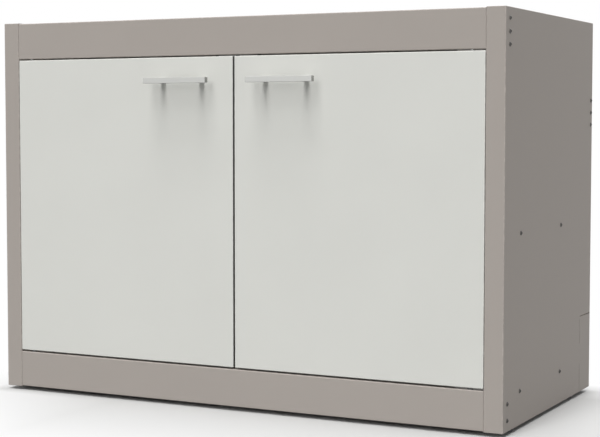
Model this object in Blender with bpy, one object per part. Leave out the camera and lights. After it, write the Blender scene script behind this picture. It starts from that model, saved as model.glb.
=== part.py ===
"""Metal sink base cabinet: folded steel carcass, two inset pin-hung doors, open top and open back.

The origin is under the centre of the whole object, on the floor. +X runs along the cabinet, +Y to the back.
"""

import math

import bmesh
import bpy
from mathutils import Matrix, Vector

# Overall sizes
cabinet_width = 1.200
body_depth = 0.595
body_height = 0.830

# Sheet, folds and running clearances
carcass_sheet = 0.0012
door_sheet = 0.0010
fold_inner_radius = 0.0008
clearance = 0.0003
overrun = 0.004

# Side panels
stile_width = 0.040
stile_return_depth = 0.028
stile_lip_width = 0.014
rear_flange_width = 0.025
top_flange_width = 0.030
bottom_flange_width = 0.040
knockout_width = 0.081
knockout_height = 0.172
knockout_slit = 0.0018
knockout_tab = 0.045
knockout_corner_tab = 0.006

# Front rails
rail_height = 0.080
rail_setback = 0.0005
rail_end_gap = 0.0006
rail_flange_depth = 0.030
rail_bracket_depth = 0.036
rail_bracket_overlap = 0.012
stop_lip_height = 0.013
screw_line_from_front = 0.024
top_rail_screw_heights = (0.009, 0.034, 0.060)
bottom_rail_screw_heights = (0.021, 0.054)

# Rear rail
rear_rail_height = 0.080
rear_rail_bottom = 0.588
rear_rail_depth = 0.030
rear_screw_from_back = 0.012
rear_screw_pitch = 0.0272
wall_hole_radius = 0.0045
wall_hole_pitch = 0.420

# Shelves
shelf_back = 0.394
shelf_fold = 0.024
middle_shelf_front = 0.070
middle_shelf_top = 0.3985
shelf_screw_drop = 0.012
shelf_screw_front = 0.099
shelf_screw_pitch = 0.266

# Doors
door_thickness = 0.019
door_edge_radius = 0.0016
door_centre_gap = 0.004
door_side_gap = 0.001
door_top_gap = 0.003
door_bottom_gap = 0.004
liner_wall = 0.006

# Door pins
hinge_inset = 0.030
hinge_setback = 0.008
pin_radius = 0.003
pin_reach = 0.013
pin_head_radius = 0.0052
pin_head_height = 0.003
bush_wall = 0.0012
bush_length = 0.015
bush_flange_width = 0.0012
bush_flange_thickness = 0.0010

# Handles
handle_pitch = 0.096
handle_length = 0.154
bar_half_width = 0.006
handle_reach = 0.032
handle_from_centre = 0.125
handle_from_door_top = 0.0502
handle_edge_break = 0.0006
post_radius = 0.006
spigot_radius = 0.004
handle_screw_radius = 0.002
handle_screw_head_radius = 0.004
handle_screw_head_height = 0.0022

# Frame screws and nuts
screw_radius = 0.003
screw_head_radius = 0.0048
screw_head_height = 0.0022
screw_length = 0.012
dome_flat_share = 0.7
socket_radius = 0.002
socket_depth = 0.0012
nut_radius = 0.0055
nut_height = 0.005
strip_half_width = 0.005
strip_thickness = 0.004
strip_end = 0.006

# Magnetic catch, strikes and buffers
catch_width = 0.110
catch_depth = 0.014
catch_height = 0.016
magnet_width = 0.036
magnet_height = 0.009
magnet_recess = 0.004
strike_width = 0.042
strike_height = 0.014
strike_thickness = 0.0012
catch_tongue_overlap = 0.008
peg_radius = 0.0022
peg_head_radius = 0.0032
peg_head_height = 0.0025
buffer_radius = 0.004
buffer_from_centre = 0.060
buffer_tip_share = 0.7

# Feet
foot_height = 0.008
foot_front = 0.070
foot_rear = 0.470
foot_side_inset = 0.018
pad_radius = 0.014
pad_height = 0.005
pad_chamfer_share = 0.2
pad_floor_share = 0.4
stem_radius = 0.004
stem_length = 0.034
collar_radius = 0.0065
foot_nut_radius = 0.0075
foot_nut_height = 0.0065

# Facets and shading
crease_angle = math.radians(30)
round_profile_share = 0.5
bend_steps = 2
small_sides = 10
round_sides = 20
hex_sides = 6

# Derived planes. Depths are counted from the front plane of the body, heights from the floor.
handle_front = handle_reach + bar_half_width
front = -(body_depth + handle_front) / 2 + handle_front
back = front + body_depth
half_width = cabinet_width / 2
base = foot_height
top = base + body_height
inner_side = half_width - carcass_sheet - clearance
stile_edge = half_width - stile_width
bottom_rail_base = base + carcass_sheet + clearance
bottom_rail_top = bottom_rail_base + rail_height
top_rail_top = top - carcass_sheet - clearance
top_rail_base = top_rail_top - rail_height
rail_end = stile_edge - rail_end_gap
door_base = bottom_rail_top + door_bottom_gap
door_top = top_rail_base - door_top_gap
door_outer = stile_edge - door_side_gap
door_inner = door_centre_gap / 2
door_back = front + door_thickness
hinge_x = door_outer - hinge_inset
hinge_y = front + hinge_setback
bush_radius = pin_radius + clearance + bush_wall
strike_front = door_back + clearance
strike_back = strike_front + strike_thickness
stop_lip_front = strike_back + clearance + carcass_sheet
door_corner_sweep = math.hypot(hinge_inset, door_thickness - hinge_setback)
stop_lip_end = hinge_x - door_corner_sweep - overrun
handle_z = door_top - handle_from_door_top
shelf_front = stop_lip_front + carcass_sheet + clearance
lower_shelf_top = bottom_rail_top
screw_grip = 2 * carcass_sheet + clearance
carcass_fold = (carcass_sheet, fold_inner_radius + carcass_sheet)
catch_tongue_low = top_rail_base + carcass_sheet / 2

finishes = {}


def finish(name, colour, roughness, metallic):
    """A plain shader for one finish, made once."""
    if name not in finishes:
        material = bpy.data.materials.new(name)
        material.use_nodes = True
        shader = material.node_tree.nodes["Principled BSDF"]
        shader.inputs["Base Color"].default_value = (*colour, 1.0)
        shader.inputs["Roughness"].default_value = roughness
        shader.inputs["Metallic"].default_value = metallic
        material.diffuse_color = (*colour, 1.0)
        finishes[name] = material
    return finishes[name]


def carcass_paint():
    return finish("carcass_paint", (0.39, 0.355, 0.325), 0.55, 0.0)


def door_paint():
    return finish("door_paint", (0.68, 0.68, 0.645), 0.5, 0.0)


def satin_steel():
    return finish("satin_steel", (0.50, 0.50, 0.48), 0.4, 1.0)


def zinc():
    return finish("zinc", (0.55, 0.55, 0.54), 0.4, 1.0)


def dark_screw():
    return finish("dark_screw", (0.12, 0.12, 0.12), 0.45, 1.0)


def black_plastic():
    return finish("black_plastic", (0.03, 0.03, 0.03), 0.5, 0.0)


def grey_nylon():
    return finish("grey_nylon", (0.14, 0.14, 0.142), 0.45, 0.0)


def link_object(name, bm, material, origin):
    """Turn a bmesh, drawn in world places, into an object whose origin is at the given point."""
    bm.transform(Matrix.Translation(-Vector(origin)))
    mesh = bpy.data.meshes.new(name)
    bm.to_mesh(mesh)
    bm.free()
    mesh.materials.append(material)
    mesh.shade_smooth()
    mesh.set_sharp_from_angle(angle=crease_angle)
    shape = bpy.data.objects.new(name, mesh)
    shape.location = origin
    bpy.context.scene.collection.objects.link(shape)
    return shape


def make_object(name, bm, material, origin=(0, 0, 0)):
    """A closed solid, with its faces turned outwards."""
    bmesh.ops.recalc_face_normals(bm, faces=bm.faces)
    return link_object(name, bm, material, origin)


def make_guide(name, bm):
    """A solid that cuts or joins another one and isn't a piece itself."""
    guide = make_object(name, bm, carcass_paint())
    guide.hide_render = True
    guide.display_type = "WIRE"
    return guide


def combine(shape, guide, operation):
    modifier = shape.modifiers.new(guide.name, "BOOLEAN")
    modifier.operation = operation
    modifier.solver = "EXACT"
    modifier.object = guide


def add_box(bm, x, y, z):
    """A box between pairs of x, y and z."""
    corners = [bm.verts.new((cx, cy, cz)) for cx in x for cy in y for cz in z]
    for ring in ((0, 1, 3, 2), (4, 6, 7, 5), (0, 4, 5, 1), (2, 3, 7, 6), (0, 2, 6, 4), (1, 5, 7, 3)):
        bm.faces.new([corners[i] for i in ring])


def turn_frame(centre, axis):
    """A frame at a point whose Z is the given axis."""
    rotation = Vector(axis).to_track_quat("Z", "Y").to_matrix().to_4x4()
    return Matrix.Translation(Vector(centre)) @ rotation


def turned_rings(bm, centre, axis, profile, sides):
    """The rings of a turned shape. Its profile lists pairs of a radius and a distance along the axis."""
    place = turn_frame(centre, axis)
    turns = [2 * math.pi * i / sides for i in range(sides)]
    rings = []
    for radius, along in profile:
        points = [Vector((radius * math.cos(a), radius * math.sin(a), along)) for a in turns]
        rings.append([bm.verts.new(place @ point) for point in points])
    return rings


def bridge(bm, ring_a, ring_b):
    sides = len(ring_a)
    for i in range(sides):
        j = (i + 1) % sides
        bm.faces.new((ring_a[i], ring_a[j], ring_b[j], ring_b[i]))


def add_rod(bm, centre, axis, profile, sides):
    """A turned solid with flat ends."""
    rings = turned_rings(bm, centre, axis, profile, sides)
    for ring_a, ring_b in zip(rings, rings[1:]):
        bridge(bm, ring_a, ring_b)
    bm.faces.new(rings[0])
    bm.faces.new(list(reversed(rings[-1])))


def add_ring(bm, centre, axis, profile, sides):
    """A turned solid with a hole: the profile is a closed loop."""
    rings = turned_rings(bm, centre, axis, profile, sides)
    for ring_a, ring_b in zip(rings, rings[1:] + rings[:1]):
        bridge(bm, ring_a, ring_b)


def add_nut(bm, centre, axis, radius, sink, height):
    """A hexagonal nut blank pressed into a sheet, without its hole, standing on the centre point."""
    add_rod(bm, centre, axis, ((radius, -sink), (radius, height)), hex_sides)


def folded_outline(path, thickness, material_left):
    """The closed outline of a sheet folded along a path, with round bends.

    The path is the sheet's own face. The sheet lies on the left or on the right of its direction.
    """
    points = [Vector(p) for p in path]
    sheet_side = 1 if material_left else -1
    near = []
    far = []

    def left_of(direction):
        return Vector((-direction.y, direction.x))

    first = (points[1] - points[0]).normalized()
    near.append(points[0])
    far.append(points[0] + left_of(first) * sheet_side * thickness)
    for before, corner, after in zip(points, points[1:], points[2:]):
        d_in = (corner - before).normalized()
        d_out = (after - corner).normalized()
        turn = math.atan2(d_in.cross(d_out), d_in.dot(d_out))
        turn_side = 1 if turn > 0 else -1
        outside = turn_side == sheet_side
        near_radius = fold_inner_radius + (thickness if outside else 0)
        far_radius = fold_inner_radius + (0 if outside else thickness)
        start = corner - d_in * near_radius * math.tan(abs(turn) / 2)
        centre = start + left_of(d_in) * turn_side * near_radius
        spoke = (start - centre).normalized()
        for step in range(bend_steps + 1):
            ray = Matrix.Rotation(turn * step / bend_steps, 2) @ spoke
            near.append(centre + ray * near_radius)
            far.append(centre + ray * far_radius)
    last = (points[-1] - points[-2]).normalized()
    near.append(points[-1])
    far.append(points[-1] + left_of(last) * sheet_side * thickness)
    return near + list(reversed(far))


def add_extrusion(bm, outline, axis, low, high):
    """Extrude a flat outline. Its two numbers are x, y along Z, and y, z along X."""
    def place(point, along):
        return (point[0], point[1], along) if axis == "Z" else (along, point[0], point[1])

    lower = [bm.verts.new(place(p, low)) for p in outline]
    upper = [bm.verts.new(place(p, high)) for p in outline]
    bridge(bm, lower, upper)
    bm.faces.new(list(reversed(lower)))
    bm.faces.new(upper)


def add_hole(bm, centre, axis, radius, depth):
    """A round cutter, the depth long, centred on a point."""
    add_rod(bm, centre, axis, ((radius, -depth / 2), (radius, depth / 2)), small_sides)


def tray(name, x, y, z, open_side, sheet, material, origin=(0, 0, 0)):
    """A pan folded from one sheet and welded at its corners: a box with one side left open."""
    thickness, fold_radius = sheet
    bm = bmesh.new()
    add_box(bm, x, y, z)
    bmesh.ops.recalc_face_normals(bm, faces=bm.faces)
    facing = Vector(open_side)
    lid = [f for f in bm.faces if f.normal.dot(facing) > 0]
    bmesh.ops.delete(bm, geom=lid, context="FACES_ONLY")
    folds = [e for e in bm.edges if len(e.link_faces) == 2]
    bmesh.ops.bevel(bm, geom=folds, offset=fold_radius, offset_type="OFFSET", segments=bend_steps,
                    profile=round_profile_share, affect="EDGES", clamp_overlap=True)
    bmesh.ops.recalc_face_normals(bm, faces=bm.faces)
    centre = Vector((sum(x), sum(y), sum(z))) / 2
    base_plate = max(bm.faces, key=lambda f: f.calc_area())
    if base_plate.normal.dot(base_plate.calc_center_median() - centre) < 0:
        bmesh.ops.reverse_faces(bm, faces=bm.faces)
    shape = link_object(name, bm, material, origin)
    wall = shape.modifiers.new("sheet", "SOLIDIFY")
    wall.thickness = thickness
    wall.offset = -1
    wall.use_even_offset = True
    return shape


def knockout_slits(bm, sign):
    """Narrow slits round the pipe knock-out in the rear bottom corner of a side."""
    x = sorted((sign * (half_width - carcass_sheet - overrun), sign * (half_width + overrun)))
    slit_front = back - knockout_width
    slit_top = base + knockout_height
    slit_low = base + carcass_sheet + fold_inner_radius
    middle = base + knockout_height / 2
    lower_part = (slit_low, middle - knockout_tab / 2)
    upper_part = (middle + knockout_tab / 2, slit_top - knockout_corner_tab)
    for span in (lower_part, upper_part):
        add_box(bm, x, (slit_front, slit_front + knockout_slit), span)
    slit_end = back - carcass_sheet - fold_inner_radius
    add_box(bm, x, (slit_front, slit_end), (slit_top - knockout_slit, slit_top))


def fixing_places():
    """Where screws pass a side: y and z of each, by the piece that they hold."""
    top_rail = [(front + screw_line_from_front, top_rail_base + h) for h in top_rail_screw_heights]
    bottom_rail = [(front + screw_line_from_front, bottom_rail_base + h) for h in bottom_rail_screw_heights]
    middle = base + rear_rail_bottom + rear_rail_height / 2
    rear_rail = [(back - rear_screw_from_back, middle + n * rear_screw_pitch) for n in (-1, 0, 1)]
    places = {"top_rail": top_rail, "bottom_rail": bottom_rail, "rear_rail": rear_rail}
    for shelf, height in (("lower_shelf", lower_shelf_top), ("middle_shelf", base + middle_shelf_top)):
        z = height - shelf_screw_drop
        first = front + shelf_screw_front
        places[shelf] = [(first, z), (first + shelf_screw_pitch, z)]
    return places


def add_fixing_holes(bm, sign, group):
    depth = 2 * (screw_grip + overrun)
    for y, z in fixing_places()[group]:
        add_hole(bm, (sign * (half_width - screw_grip / 2), y, z), (1, 0, 0), screw_radius + clearance, depth)


def foot_places():
    """The name, x and y of each foot."""
    x = half_width - foot_side_inset
    return [(f"foot_{end}_{side}", (sign * x, front + depth))
            for end, depth in (("front", foot_front), ("rear", foot_rear))
            for side, sign in (("left", -1), ("right", 1))]


def side_panel(side, sign):
    """Folded side: rear flange, side, stile, stile return and lip in plan, with top and bottom flanges."""
    plan = [(sign * (half_width - rear_flange_width), back),
            (sign * half_width, back),
            (sign * half_width, front),
            (sign * stile_edge, front),
            (sign * stile_edge, front + stile_return_depth),
            (sign * (stile_edge + stile_lip_width), front + stile_return_depth)]
    bm = bmesh.new()
    add_extrusion(bm, folded_outline(plan, carcass_sheet, sign < 0), "Z", base, top)
    panel = make_object(f"side_panel_{side}", bm, carcass_paint())
    half_sheet = carcass_sheet / 2
    for level, width, z in (("top", top_flange_width, (top - carcass_sheet, top)),
                            ("bottom", bottom_flange_width, (base, base + carcass_sheet))):
        bm = bmesh.new()
        x = sorted((sign * (half_width - width), sign * (half_width - half_sheet)))
        add_box(bm, x, (front + half_sheet, back - half_sheet), z)
        combine(panel, make_guide(f"{level}_flange_{side}", bm), "UNION")
    bm = bmesh.new()
    for name, (x, y) in foot_places():
        if name.endswith(side):
            add_nut(bm, (x, y, base + carcass_sheet), (0, 0, 1), foot_nut_radius, half_sheet, foot_nut_height)
    combine(panel, make_guide(f"foot_nuts_{side}", bm), "UNION")
    bm = bmesh.new()
    reach = stile_edge + stile_lip_width + overrun
    x = sorted((sign * (stile_edge - overrun), sign * reach))
    y = (front + carcass_sheet, front + stile_return_depth + overrun)
    add_box(bm, x, y, (base + carcass_sheet, bottom_rail_top + clearance))
    add_box(bm, x, y, (top_rail_base - clearance, top - carcass_sheet))
    combine(panel, make_guide(f"stile_notches_{side}", bm), "DIFFERENCE")
    bm = bmesh.new()
    for group in fixing_places():
        add_fixing_holes(bm, sign, group)
    knockout_slits(bm, sign)
    for name, (x, y) in foot_places():
        if name.endswith(side):
            add_hole(bm, (x, y, base), (0, 0, 1), stem_radius + clearance, 2 * (foot_nut_height + overrun))
    combine(panel, make_guide(f"side_holes_{side}", bm), "DIFFERENCE")


def add_end_bracket(bm, sign, z):
    """Plate behind the rail's face and the stile, folded back along the side."""
    y = front + carcass_sheet + clearance
    plan = [(sign * (rail_end - rail_bracket_overlap), y),
            (sign * inner_side, y),
            (sign * inner_side, y + rail_bracket_depth)]
    add_extrusion(bm, folded_outline(plan, carcass_sheet, sign > 0), "Z", *z)


def front_rail(name, low, high, lip_side, group):
    """Front channel between the stiles, with a stop lip for the doors and a bracket at each end.

    Where lip_side is 1 the lip stands on the top flange, and where it is -1 it hangs from the bottom one.
    """
    face = front + rail_setback
    near, far = (high, low) if lip_side > 0 else (low, high)
    section = [(front + rail_flange_depth, far), (face, far), (face, near), (stop_lip_front, near),
               (stop_lip_front, near + lip_side * stop_lip_height)]
    bm = bmesh.new()
    add_extrusion(bm, folded_outline(section, carcass_sheet, lip_side < 0), "X", -rail_end, rail_end)
    rail = make_object(name, bm, carcass_paint())
    bm = bmesh.new()
    lip_y = (stop_lip_front - fold_inner_radius - overrun, stop_lip_front + carcass_sheet + overrun)
    lip_z = sorted((near - lip_side * (carcass_sheet + overrun),
                    near + lip_side * (stop_lip_height + overrun)))
    for sign in (-1, 1):
        add_box(bm, sorted((sign * stop_lip_end, sign * (rail_end + overrun))), lip_y, lip_z)
    if lip_side < 0:
        room = catch_width / 2 + overrun
        add_box(bm, (-room, room), lip_y, lip_z)
    combine(rail, make_guide(f"{name}_lip_ends", bm), "DIFFERENCE")
    bm = bmesh.new()
    for sign in (-1, 1):
        add_end_bracket(bm, sign, (low + carcass_sheet + clearance, high - carcass_sheet - clearance))
    if lip_side < 0:
        tongue_y = (lip_y[0] - catch_tongue_overlap, strike_back + clearance + catch_depth)
        tongue_z = (catch_tongue_low, catch_tongue_low + carcass_sheet)
        add_box(bm, (-catch_width / 2, catch_width / 2), tongue_y, tongue_z)
    combine(rail, make_guide(f"{name}_joined", bm), "UNION")
    bm = bmesh.new()
    for sign in (-1, 1):
        add_fixing_holes(bm, sign, group)
        add_hole(bm, (sign * hinge_x, hinge_y, near), (0, 0, 1), pin_radius + clearance, 2 * overrun)
    if lip_side < 0:
        for x, y in catch_peg_places():
            add_hole(bm, (x, y, catch_tongue_low), (0, 0, 1), peg_radius + clearance, 2 * overrun)
    combine(rail, make_guide(f"{name}_holes", bm), "DIFFERENCE")


def catch_peg_places():
    x = catch_width / 2 - peg_head_radius - clearance
    return [(sign * x, strike_back + clearance + catch_depth / 2) for sign in (-1, 1)]


def rear_cross_rail():
    """Channel across the open back, closed at its ends, inside the rear flanges of the sides."""
    rear_face = back - carcass_sheet - clearance
    low = base + rear_rail_bottom
    rail = tray("rear_cross_rail", (-inner_side, inner_side), (rear_face - rear_rail_depth, rear_face),
                (low, low + rear_rail_height), (0, -1, 0), carcass_fold, carcass_paint())
    bm = bmesh.new()
    for sign in (-1, 1):
        add_fixing_holes(bm, sign, "rear_rail")
        for x in (wall_hole_pitch / 2, wall_hole_pitch):
            add_hole(bm, (sign * x, rear_face, low + rear_rail_height / 2), (0, 1, 0), wall_hole_radius,
                     2 * overrun)
    combine(rail, make_guide("rear_rail_holes", bm), "DIFFERENCE")


def shelf(name, shelf_start, surface, side_start):
    """Shelf tray, open below, with nuts pressed into its side folds.

    The tray is narrower in front of side_start, to pass what stands there.
    """
    tray_z = (surface - shelf_fold, surface)
    deck = tray(name, (-inner_side, inner_side), (shelf_start, front + shelf_back), tray_z, (0, 0, -1),
                carcass_fold, carcass_paint())
    nuts = bmesh.new()
    cuts = bmesh.new()
    for sign in (-1, 1):
        for y, z in fixing_places()[name]:
            seat = (sign * (inner_side - carcass_sheet), y, z)
            add_nut(nuts, seat, (-sign, 0, 0), nut_radius, carcass_sheet / 2, nut_height)
            add_hole(cuts, seat, (1, 0, 0), screw_radius + clearance, 2 * (nut_height + overrun))
        if side_start > shelf_start:
            x = sorted((sign * (half_width - screw_length - overrun), sign * (inner_side + overrun)))
            y = (shelf_start - overrun, side_start)
            add_box(cuts, x, y, (tray_z[0] - overrun, surface + overrun))
    combine(deck, make_guide(f"{name}_nuts", nuts), "UNION")
    combine(deck, make_guide(f"{name}_cuts", cuts), "DIFFERENCE")


def screw_profile(head_radius, head_height, radius, length):
    """Button head with a round socket, from the socket's floor out over the head and down the shank."""
    return ((socket_radius, head_height - socket_depth), (socket_radius, head_height),
            (head_radius * dome_flat_share, head_height), (head_radius, 0), (radius, 0), (radius, -length))


def add_screw(bm, sign, y, z):
    seat = (sign * (half_width + clearance), y, z)
    profile = screw_profile(screw_head_radius, screw_head_height, screw_radius, screw_length)
    add_rod(bm, seat, (sign, 0, 0), profile, small_sides)


def rail_fixings(rail, side, sign):
    """The screws that hold one end of a rail, with the tapped strip inside that they hold by."""
    places = fixing_places()[rail]
    near = half_width - screw_grip - clearance
    heights = [z for _, z in places]
    strip_x = sorted((sign * near, sign * (near - strip_thickness)))
    strip_y = places[0][0]
    bm = bmesh.new()
    add_box(bm, strip_x, (strip_y - strip_half_width, strip_y + strip_half_width),
            (min(heights) - strip_end, max(heights) + strip_end))
    strip = make_object(f"{rail}_fixing_{side}", bm, dark_screw())
    bm = bmesh.new()
    for place in places:
        add_screw(bm, sign, *place)
    combine(strip, make_guide(f"{rail}_screws_{side}", bm), "UNION")


def shelf_screws(name, side, sign):
    for end, place in zip(("front", "rear"), fixing_places()[name]):
        bm = bmesh.new()
        add_screw(bm, sign, *place)
        make_object(f"{name}_screw_{side}_{end}", bm, dark_screw())


def feet():
    """Levelling feet screwed through the bottom flanges. Each foot's origin is on its thread's axis."""
    bore = stem_radius + clearance
    for name, (x, y) in foot_places():
        centre = (x, y, 0)
        chamfer = pad_height * pad_chamfer_share
        tip = pad_height * pad_floor_share
        bm = bmesh.new()
        add_rod(bm, centre, (0, 0, 1),
                ((pad_radius - chamfer, 0), (pad_radius, chamfer), (pad_radius, pad_height - chamfer),
                 (pad_radius - chamfer, pad_height), (bore, pad_height), (bore, tip)), round_sides)
        make_object(f"{name}_pad", bm, black_plastic(), (x, y, base))
        bm = bmesh.new()
        collar_low = pad_height + clearance
        collar_high = base - clearance
        add_rod(bm, centre, (0, 0, 1),
                ((stem_radius, tip + clearance), (stem_radius, collar_low), (collar_radius, collar_low),
                 (collar_radius, collar_high), (stem_radius, collar_high), (stem_radius, base + stem_length)),
                small_sides)
        make_object(f"{name}_stem", bm, zinc(), (x, y, base))


def door_pans(side, sign):
    """Outer pan and inner pan of a door, nested back to back. Their origins are on the hinge axis."""
    pivot = (sign * hinge_x, hinge_y, 0)
    x = sorted((sign * door_inner, sign * door_outer))
    skin = tray(f"door_skin_{side}", x, (front, door_back), (door_base, door_top), (0, 1, 0),
                (door_sheet, door_edge_radius), door_paint(), pivot)
    nested = door_sheet + clearance
    tray(f"door_liner_{side}", (x[0] + nested, x[1] - nested), (door_back - liner_wall, door_back),
         (door_base + nested, door_top - nested), (0, -1, 0), (door_sheet, fold_inner_radius + door_sheet),
         door_paint(), pivot)
    bm = bmesh.new()
    for z in (door_base, door_top):
        add_hole(bm, (sign * hinge_x, hinge_y, z), (0, 0, 1), bush_radius + clearance, 2 * overrun)
    for x_post in post_places(sign):
        add_hole(bm, (x_post, front, handle_z), (0, 1, 0), handle_screw_radius + clearance, 2 * overrun)
    combine(skin, make_guide(f"door_holes_{side}", bm), "DIFFERENCE")


def post_places(sign):
    return [sign * (handle_from_centre + n * handle_pitch / 2) for n in (1, -1)]


def handle(side, sign):
    """Square bar on two posts, held by screws from inside the outer pan."""
    pivot = (sign * hinge_x, hinge_y, 0)
    x = sign * handle_from_centre
    bar_y = front - handle_reach
    bm = bmesh.new()
    add_box(bm, (x - handle_length / 2, x + handle_length / 2),
            (bar_y - bar_half_width, bar_y + bar_half_width),
            (handle_z - bar_half_width, handle_z + bar_half_width))
    bmesh.ops.recalc_face_normals(bm, faces=bm.faces)
    bmesh.ops.bevel(bm, geom=bm.edges, offset=handle_edge_break, offset_type="OFFSET", segments=1,
                    profile=round_profile_share, affect="EDGES", clamp_overlap=True)
    bar = make_object(f"handle_bar_{side}", bm, satin_steel(), pivot)
    seats = bmesh.new()
    for end, x_post in zip(("outer", "inner"), post_places(sign)):
        seat = spigot_radius + clearance
        add_rod(seats, (x_post, bar_y + bar_half_width, handle_z), (0, 1, 0),
                ((seat, -bar_half_width / 2), (seat, bar_half_width / 2)), round_sides)
        handle_post(f"{side}_{end}", (x_post, front, handle_z), pivot)
    combine(bar, make_guide(f"handle_seats_{side}", seats), "DIFFERENCE")


def handle_post(place, foot, pivot):
    """Turned post with a spigot let into the bar, and the screw that pulls it down."""
    thread = handle_screw_radius + clearance
    thread_depth = handle_reach - bar_half_width - spigot_radius
    shoulder = handle_reach - bar_half_width - clearance
    head = door_sheet + clearance
    bm = bmesh.new()
    add_rod(bm, foot, (0, -1, 0),
            ((thread, thread_depth), (thread, clearance), (post_radius, clearance), (post_radius, shoulder),
             (spigot_radius, shoulder), (spigot_radius, handle_reach - bar_half_width / 2 - clearance)),
            round_sides)
    make_object(f"handle_post_{place}", bm, satin_steel(), pivot)
    bm = bmesh.new()
    add_rod(bm, foot, (0, 1, 0),
            ((handle_screw_radius, clearance - thread_depth), (handle_screw_radius, head),
             (handle_screw_head_radius, head), (handle_screw_head_radius, head + handle_screw_head_height)),
            small_sides)
    make_object(f"handle_screw_{place}", bm, zinc(), pivot)


def door_pins(side, sign):
    """Pins in the rails and bushes in the door, all on the hinge axis."""
    x = sign * hinge_x
    pivot = (x, hinge_y, 0)
    bore = pin_radius + clearance
    flange = bush_radius + bush_flange_width
    for level, z, outward in (("upper", door_top, 1), ("lower", door_base, -1)):
        centre = (x, hinge_y, z)
        bm = bmesh.new()
        seat = clearance
        add_ring(bm, centre, (0, 0, outward),
                 ((bore, -bush_length), (bush_radius, -bush_length), (bush_radius, seat), (flange, seat),
                  (flange, seat + bush_flange_thickness), (bore, seat + bush_flange_thickness)), small_sides)
        make_object(f"{level}_bush_{side}", bm, grey_nylon(), pivot)
        rail_face = top_rail_base if outward > 0 else bottom_rail_top
        head = abs(rail_face - z) + carcass_sheet + clearance
        bm = bmesh.new()
        add_rod(bm, centre, (0, 0, outward),
                ((pin_radius, -pin_reach), (pin_radius, head), (pin_head_radius, head),
                 (pin_head_radius, head + pin_head_height)), small_sides)
        make_object(f"{level}_pivot_{side}", bm, zinc(), pivot)


def pivot_washer(side, sign):
    """Thrust washer between the lower bush and the bottom rail."""
    low = bottom_rail_top + clearance
    high = door_base - bush_flange_thickness - 2 * clearance
    outer = bush_radius + bush_flange_width
    bore = pin_radius + clearance
    bm = bmesh.new()
    add_ring(bm, (sign * hinge_x, hinge_y, 0), (0, 0, 1),
             ((bore, low), (outer, low), (outer, high), (bore, high)), small_sides)
    make_object(f"pivot_washer_{side}", bm, grey_nylon())


def catch_height_range():
    high = catch_tongue_low - clearance
    return high - catch_height, high


def magnet_x(sign):
    return sign * (door_inner + door_edge_radius + door_sheet + strike_width / 2)


def magnetic_catch():
    """Double magnetic catch under the top rail. Two moulded pegs snap through the rail and hold it."""
    low, high = catch_height_range()
    face = strike_back + clearance
    half = catch_width / 2
    middle = (low + high) / 2
    bm = bmesh.new()
    add_box(bm, (-half, half), (face, face + catch_depth), (low, high))
    body = make_object("catch_body", bm, black_plastic())
    pegs = bmesh.new()
    seat = carcass_sheet + 2 * clearance
    for x, y in catch_peg_places():
        add_rod(pegs, (x, y, high), (0, 0, 1),
                ((peg_radius, -catch_height / 2), (peg_radius, seat), (peg_head_radius, seat),
                 (peg_radius, seat + peg_head_height)), small_sides)
    combine(body, make_guide("catch_pegs", pegs), "UNION")
    pockets = bmesh.new()
    width = magnet_width / 2
    height = magnet_height / 2
    for side, sign in (("left", -1), ("right", 1)):
        x = magnet_x(sign)
        add_box(pockets, (x - width - clearance, x + width + clearance),
                (face - overrun, face + magnet_recess + clearance),
                (middle - height - clearance, middle + height + clearance))
        bm = bmesh.new()
        add_box(bm, (x - width, x + width), (face, face + magnet_recess), (middle - height, middle + height))
        make_object(f"catch_magnet_{side}", bm, zinc())
    combine(body, make_guide("catch_pockets", pockets), "DIFFERENCE")


def door_trim(side, sign):
    """Steel strike for the magnet, and a rubber buffer that meets the lower stop lip."""
    pivot = (sign * hinge_x, hinge_y, 0)
    low, high = catch_height_range()
    middle = (low + high) / 2
    x = magnet_x(sign)
    bm = bmesh.new()
    add_box(bm, (x - strike_width / 2, x + strike_width / 2), (strike_front, strike_back),
            (middle - strike_height / 2, middle + strike_height / 2))
    make_object(f"strike_plate_{side}", bm, zinc(), pivot)
    thickness = stop_lip_front - door_back - clearance
    place = (sign * buffer_from_centre, door_back, bottom_rail_top + stop_lip_height - buffer_radius)
    bm = bmesh.new()
    add_rod(bm, place, (0, 1, 0),
            ((buffer_radius, clearance), (buffer_radius, thickness / 2),
             (buffer_radius * buffer_tip_share, thickness)), small_sides)
    make_object(f"door_buffer_{side}", bm, black_plastic(), pivot)


def build():
    for item in list(bpy.data.objects):
        bpy.data.objects.remove(item)
    sides = (("left", -1), ("right", 1))
    for side in sides:
        side_panel(*side)
    front_rail("top_front_rail", top_rail_base, top_rail_top, -1, "top_rail")
    front_rail("bottom_front_rail", bottom_rail_base, bottom_rail_top, 1, "bottom_rail")
    rear_cross_rail()
    bracket_end = front + carcass_sheet + rail_bracket_depth + 2 * clearance
    shelf("lower_shelf", shelf_front, lower_shelf_top, bracket_end)
    middle_front = front + middle_shelf_front
    shelf("middle_shelf", middle_front, base + middle_shelf_top, middle_front)
    for side in sides:
        for rail in ("top_rail", "bottom_rail", "rear_rail"):
            rail_fixings(rail, *side)
        for name in ("lower_shelf", "middle_shelf"):
            shelf_screws(name, *side)
    feet()
    for side in sides:
        door_pans(*side)
        handle(*side)
        door_pins(*side)
        pivot_washer(*side)
        door_trim(*side)
    magnetic_catch()


build()
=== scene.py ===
"""Metal sink base cabinet: the looks of every piece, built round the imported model. Metres, +Z up."""

import math

import bmesh
import bpy
from mathutils import Matrix, Vector


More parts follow.
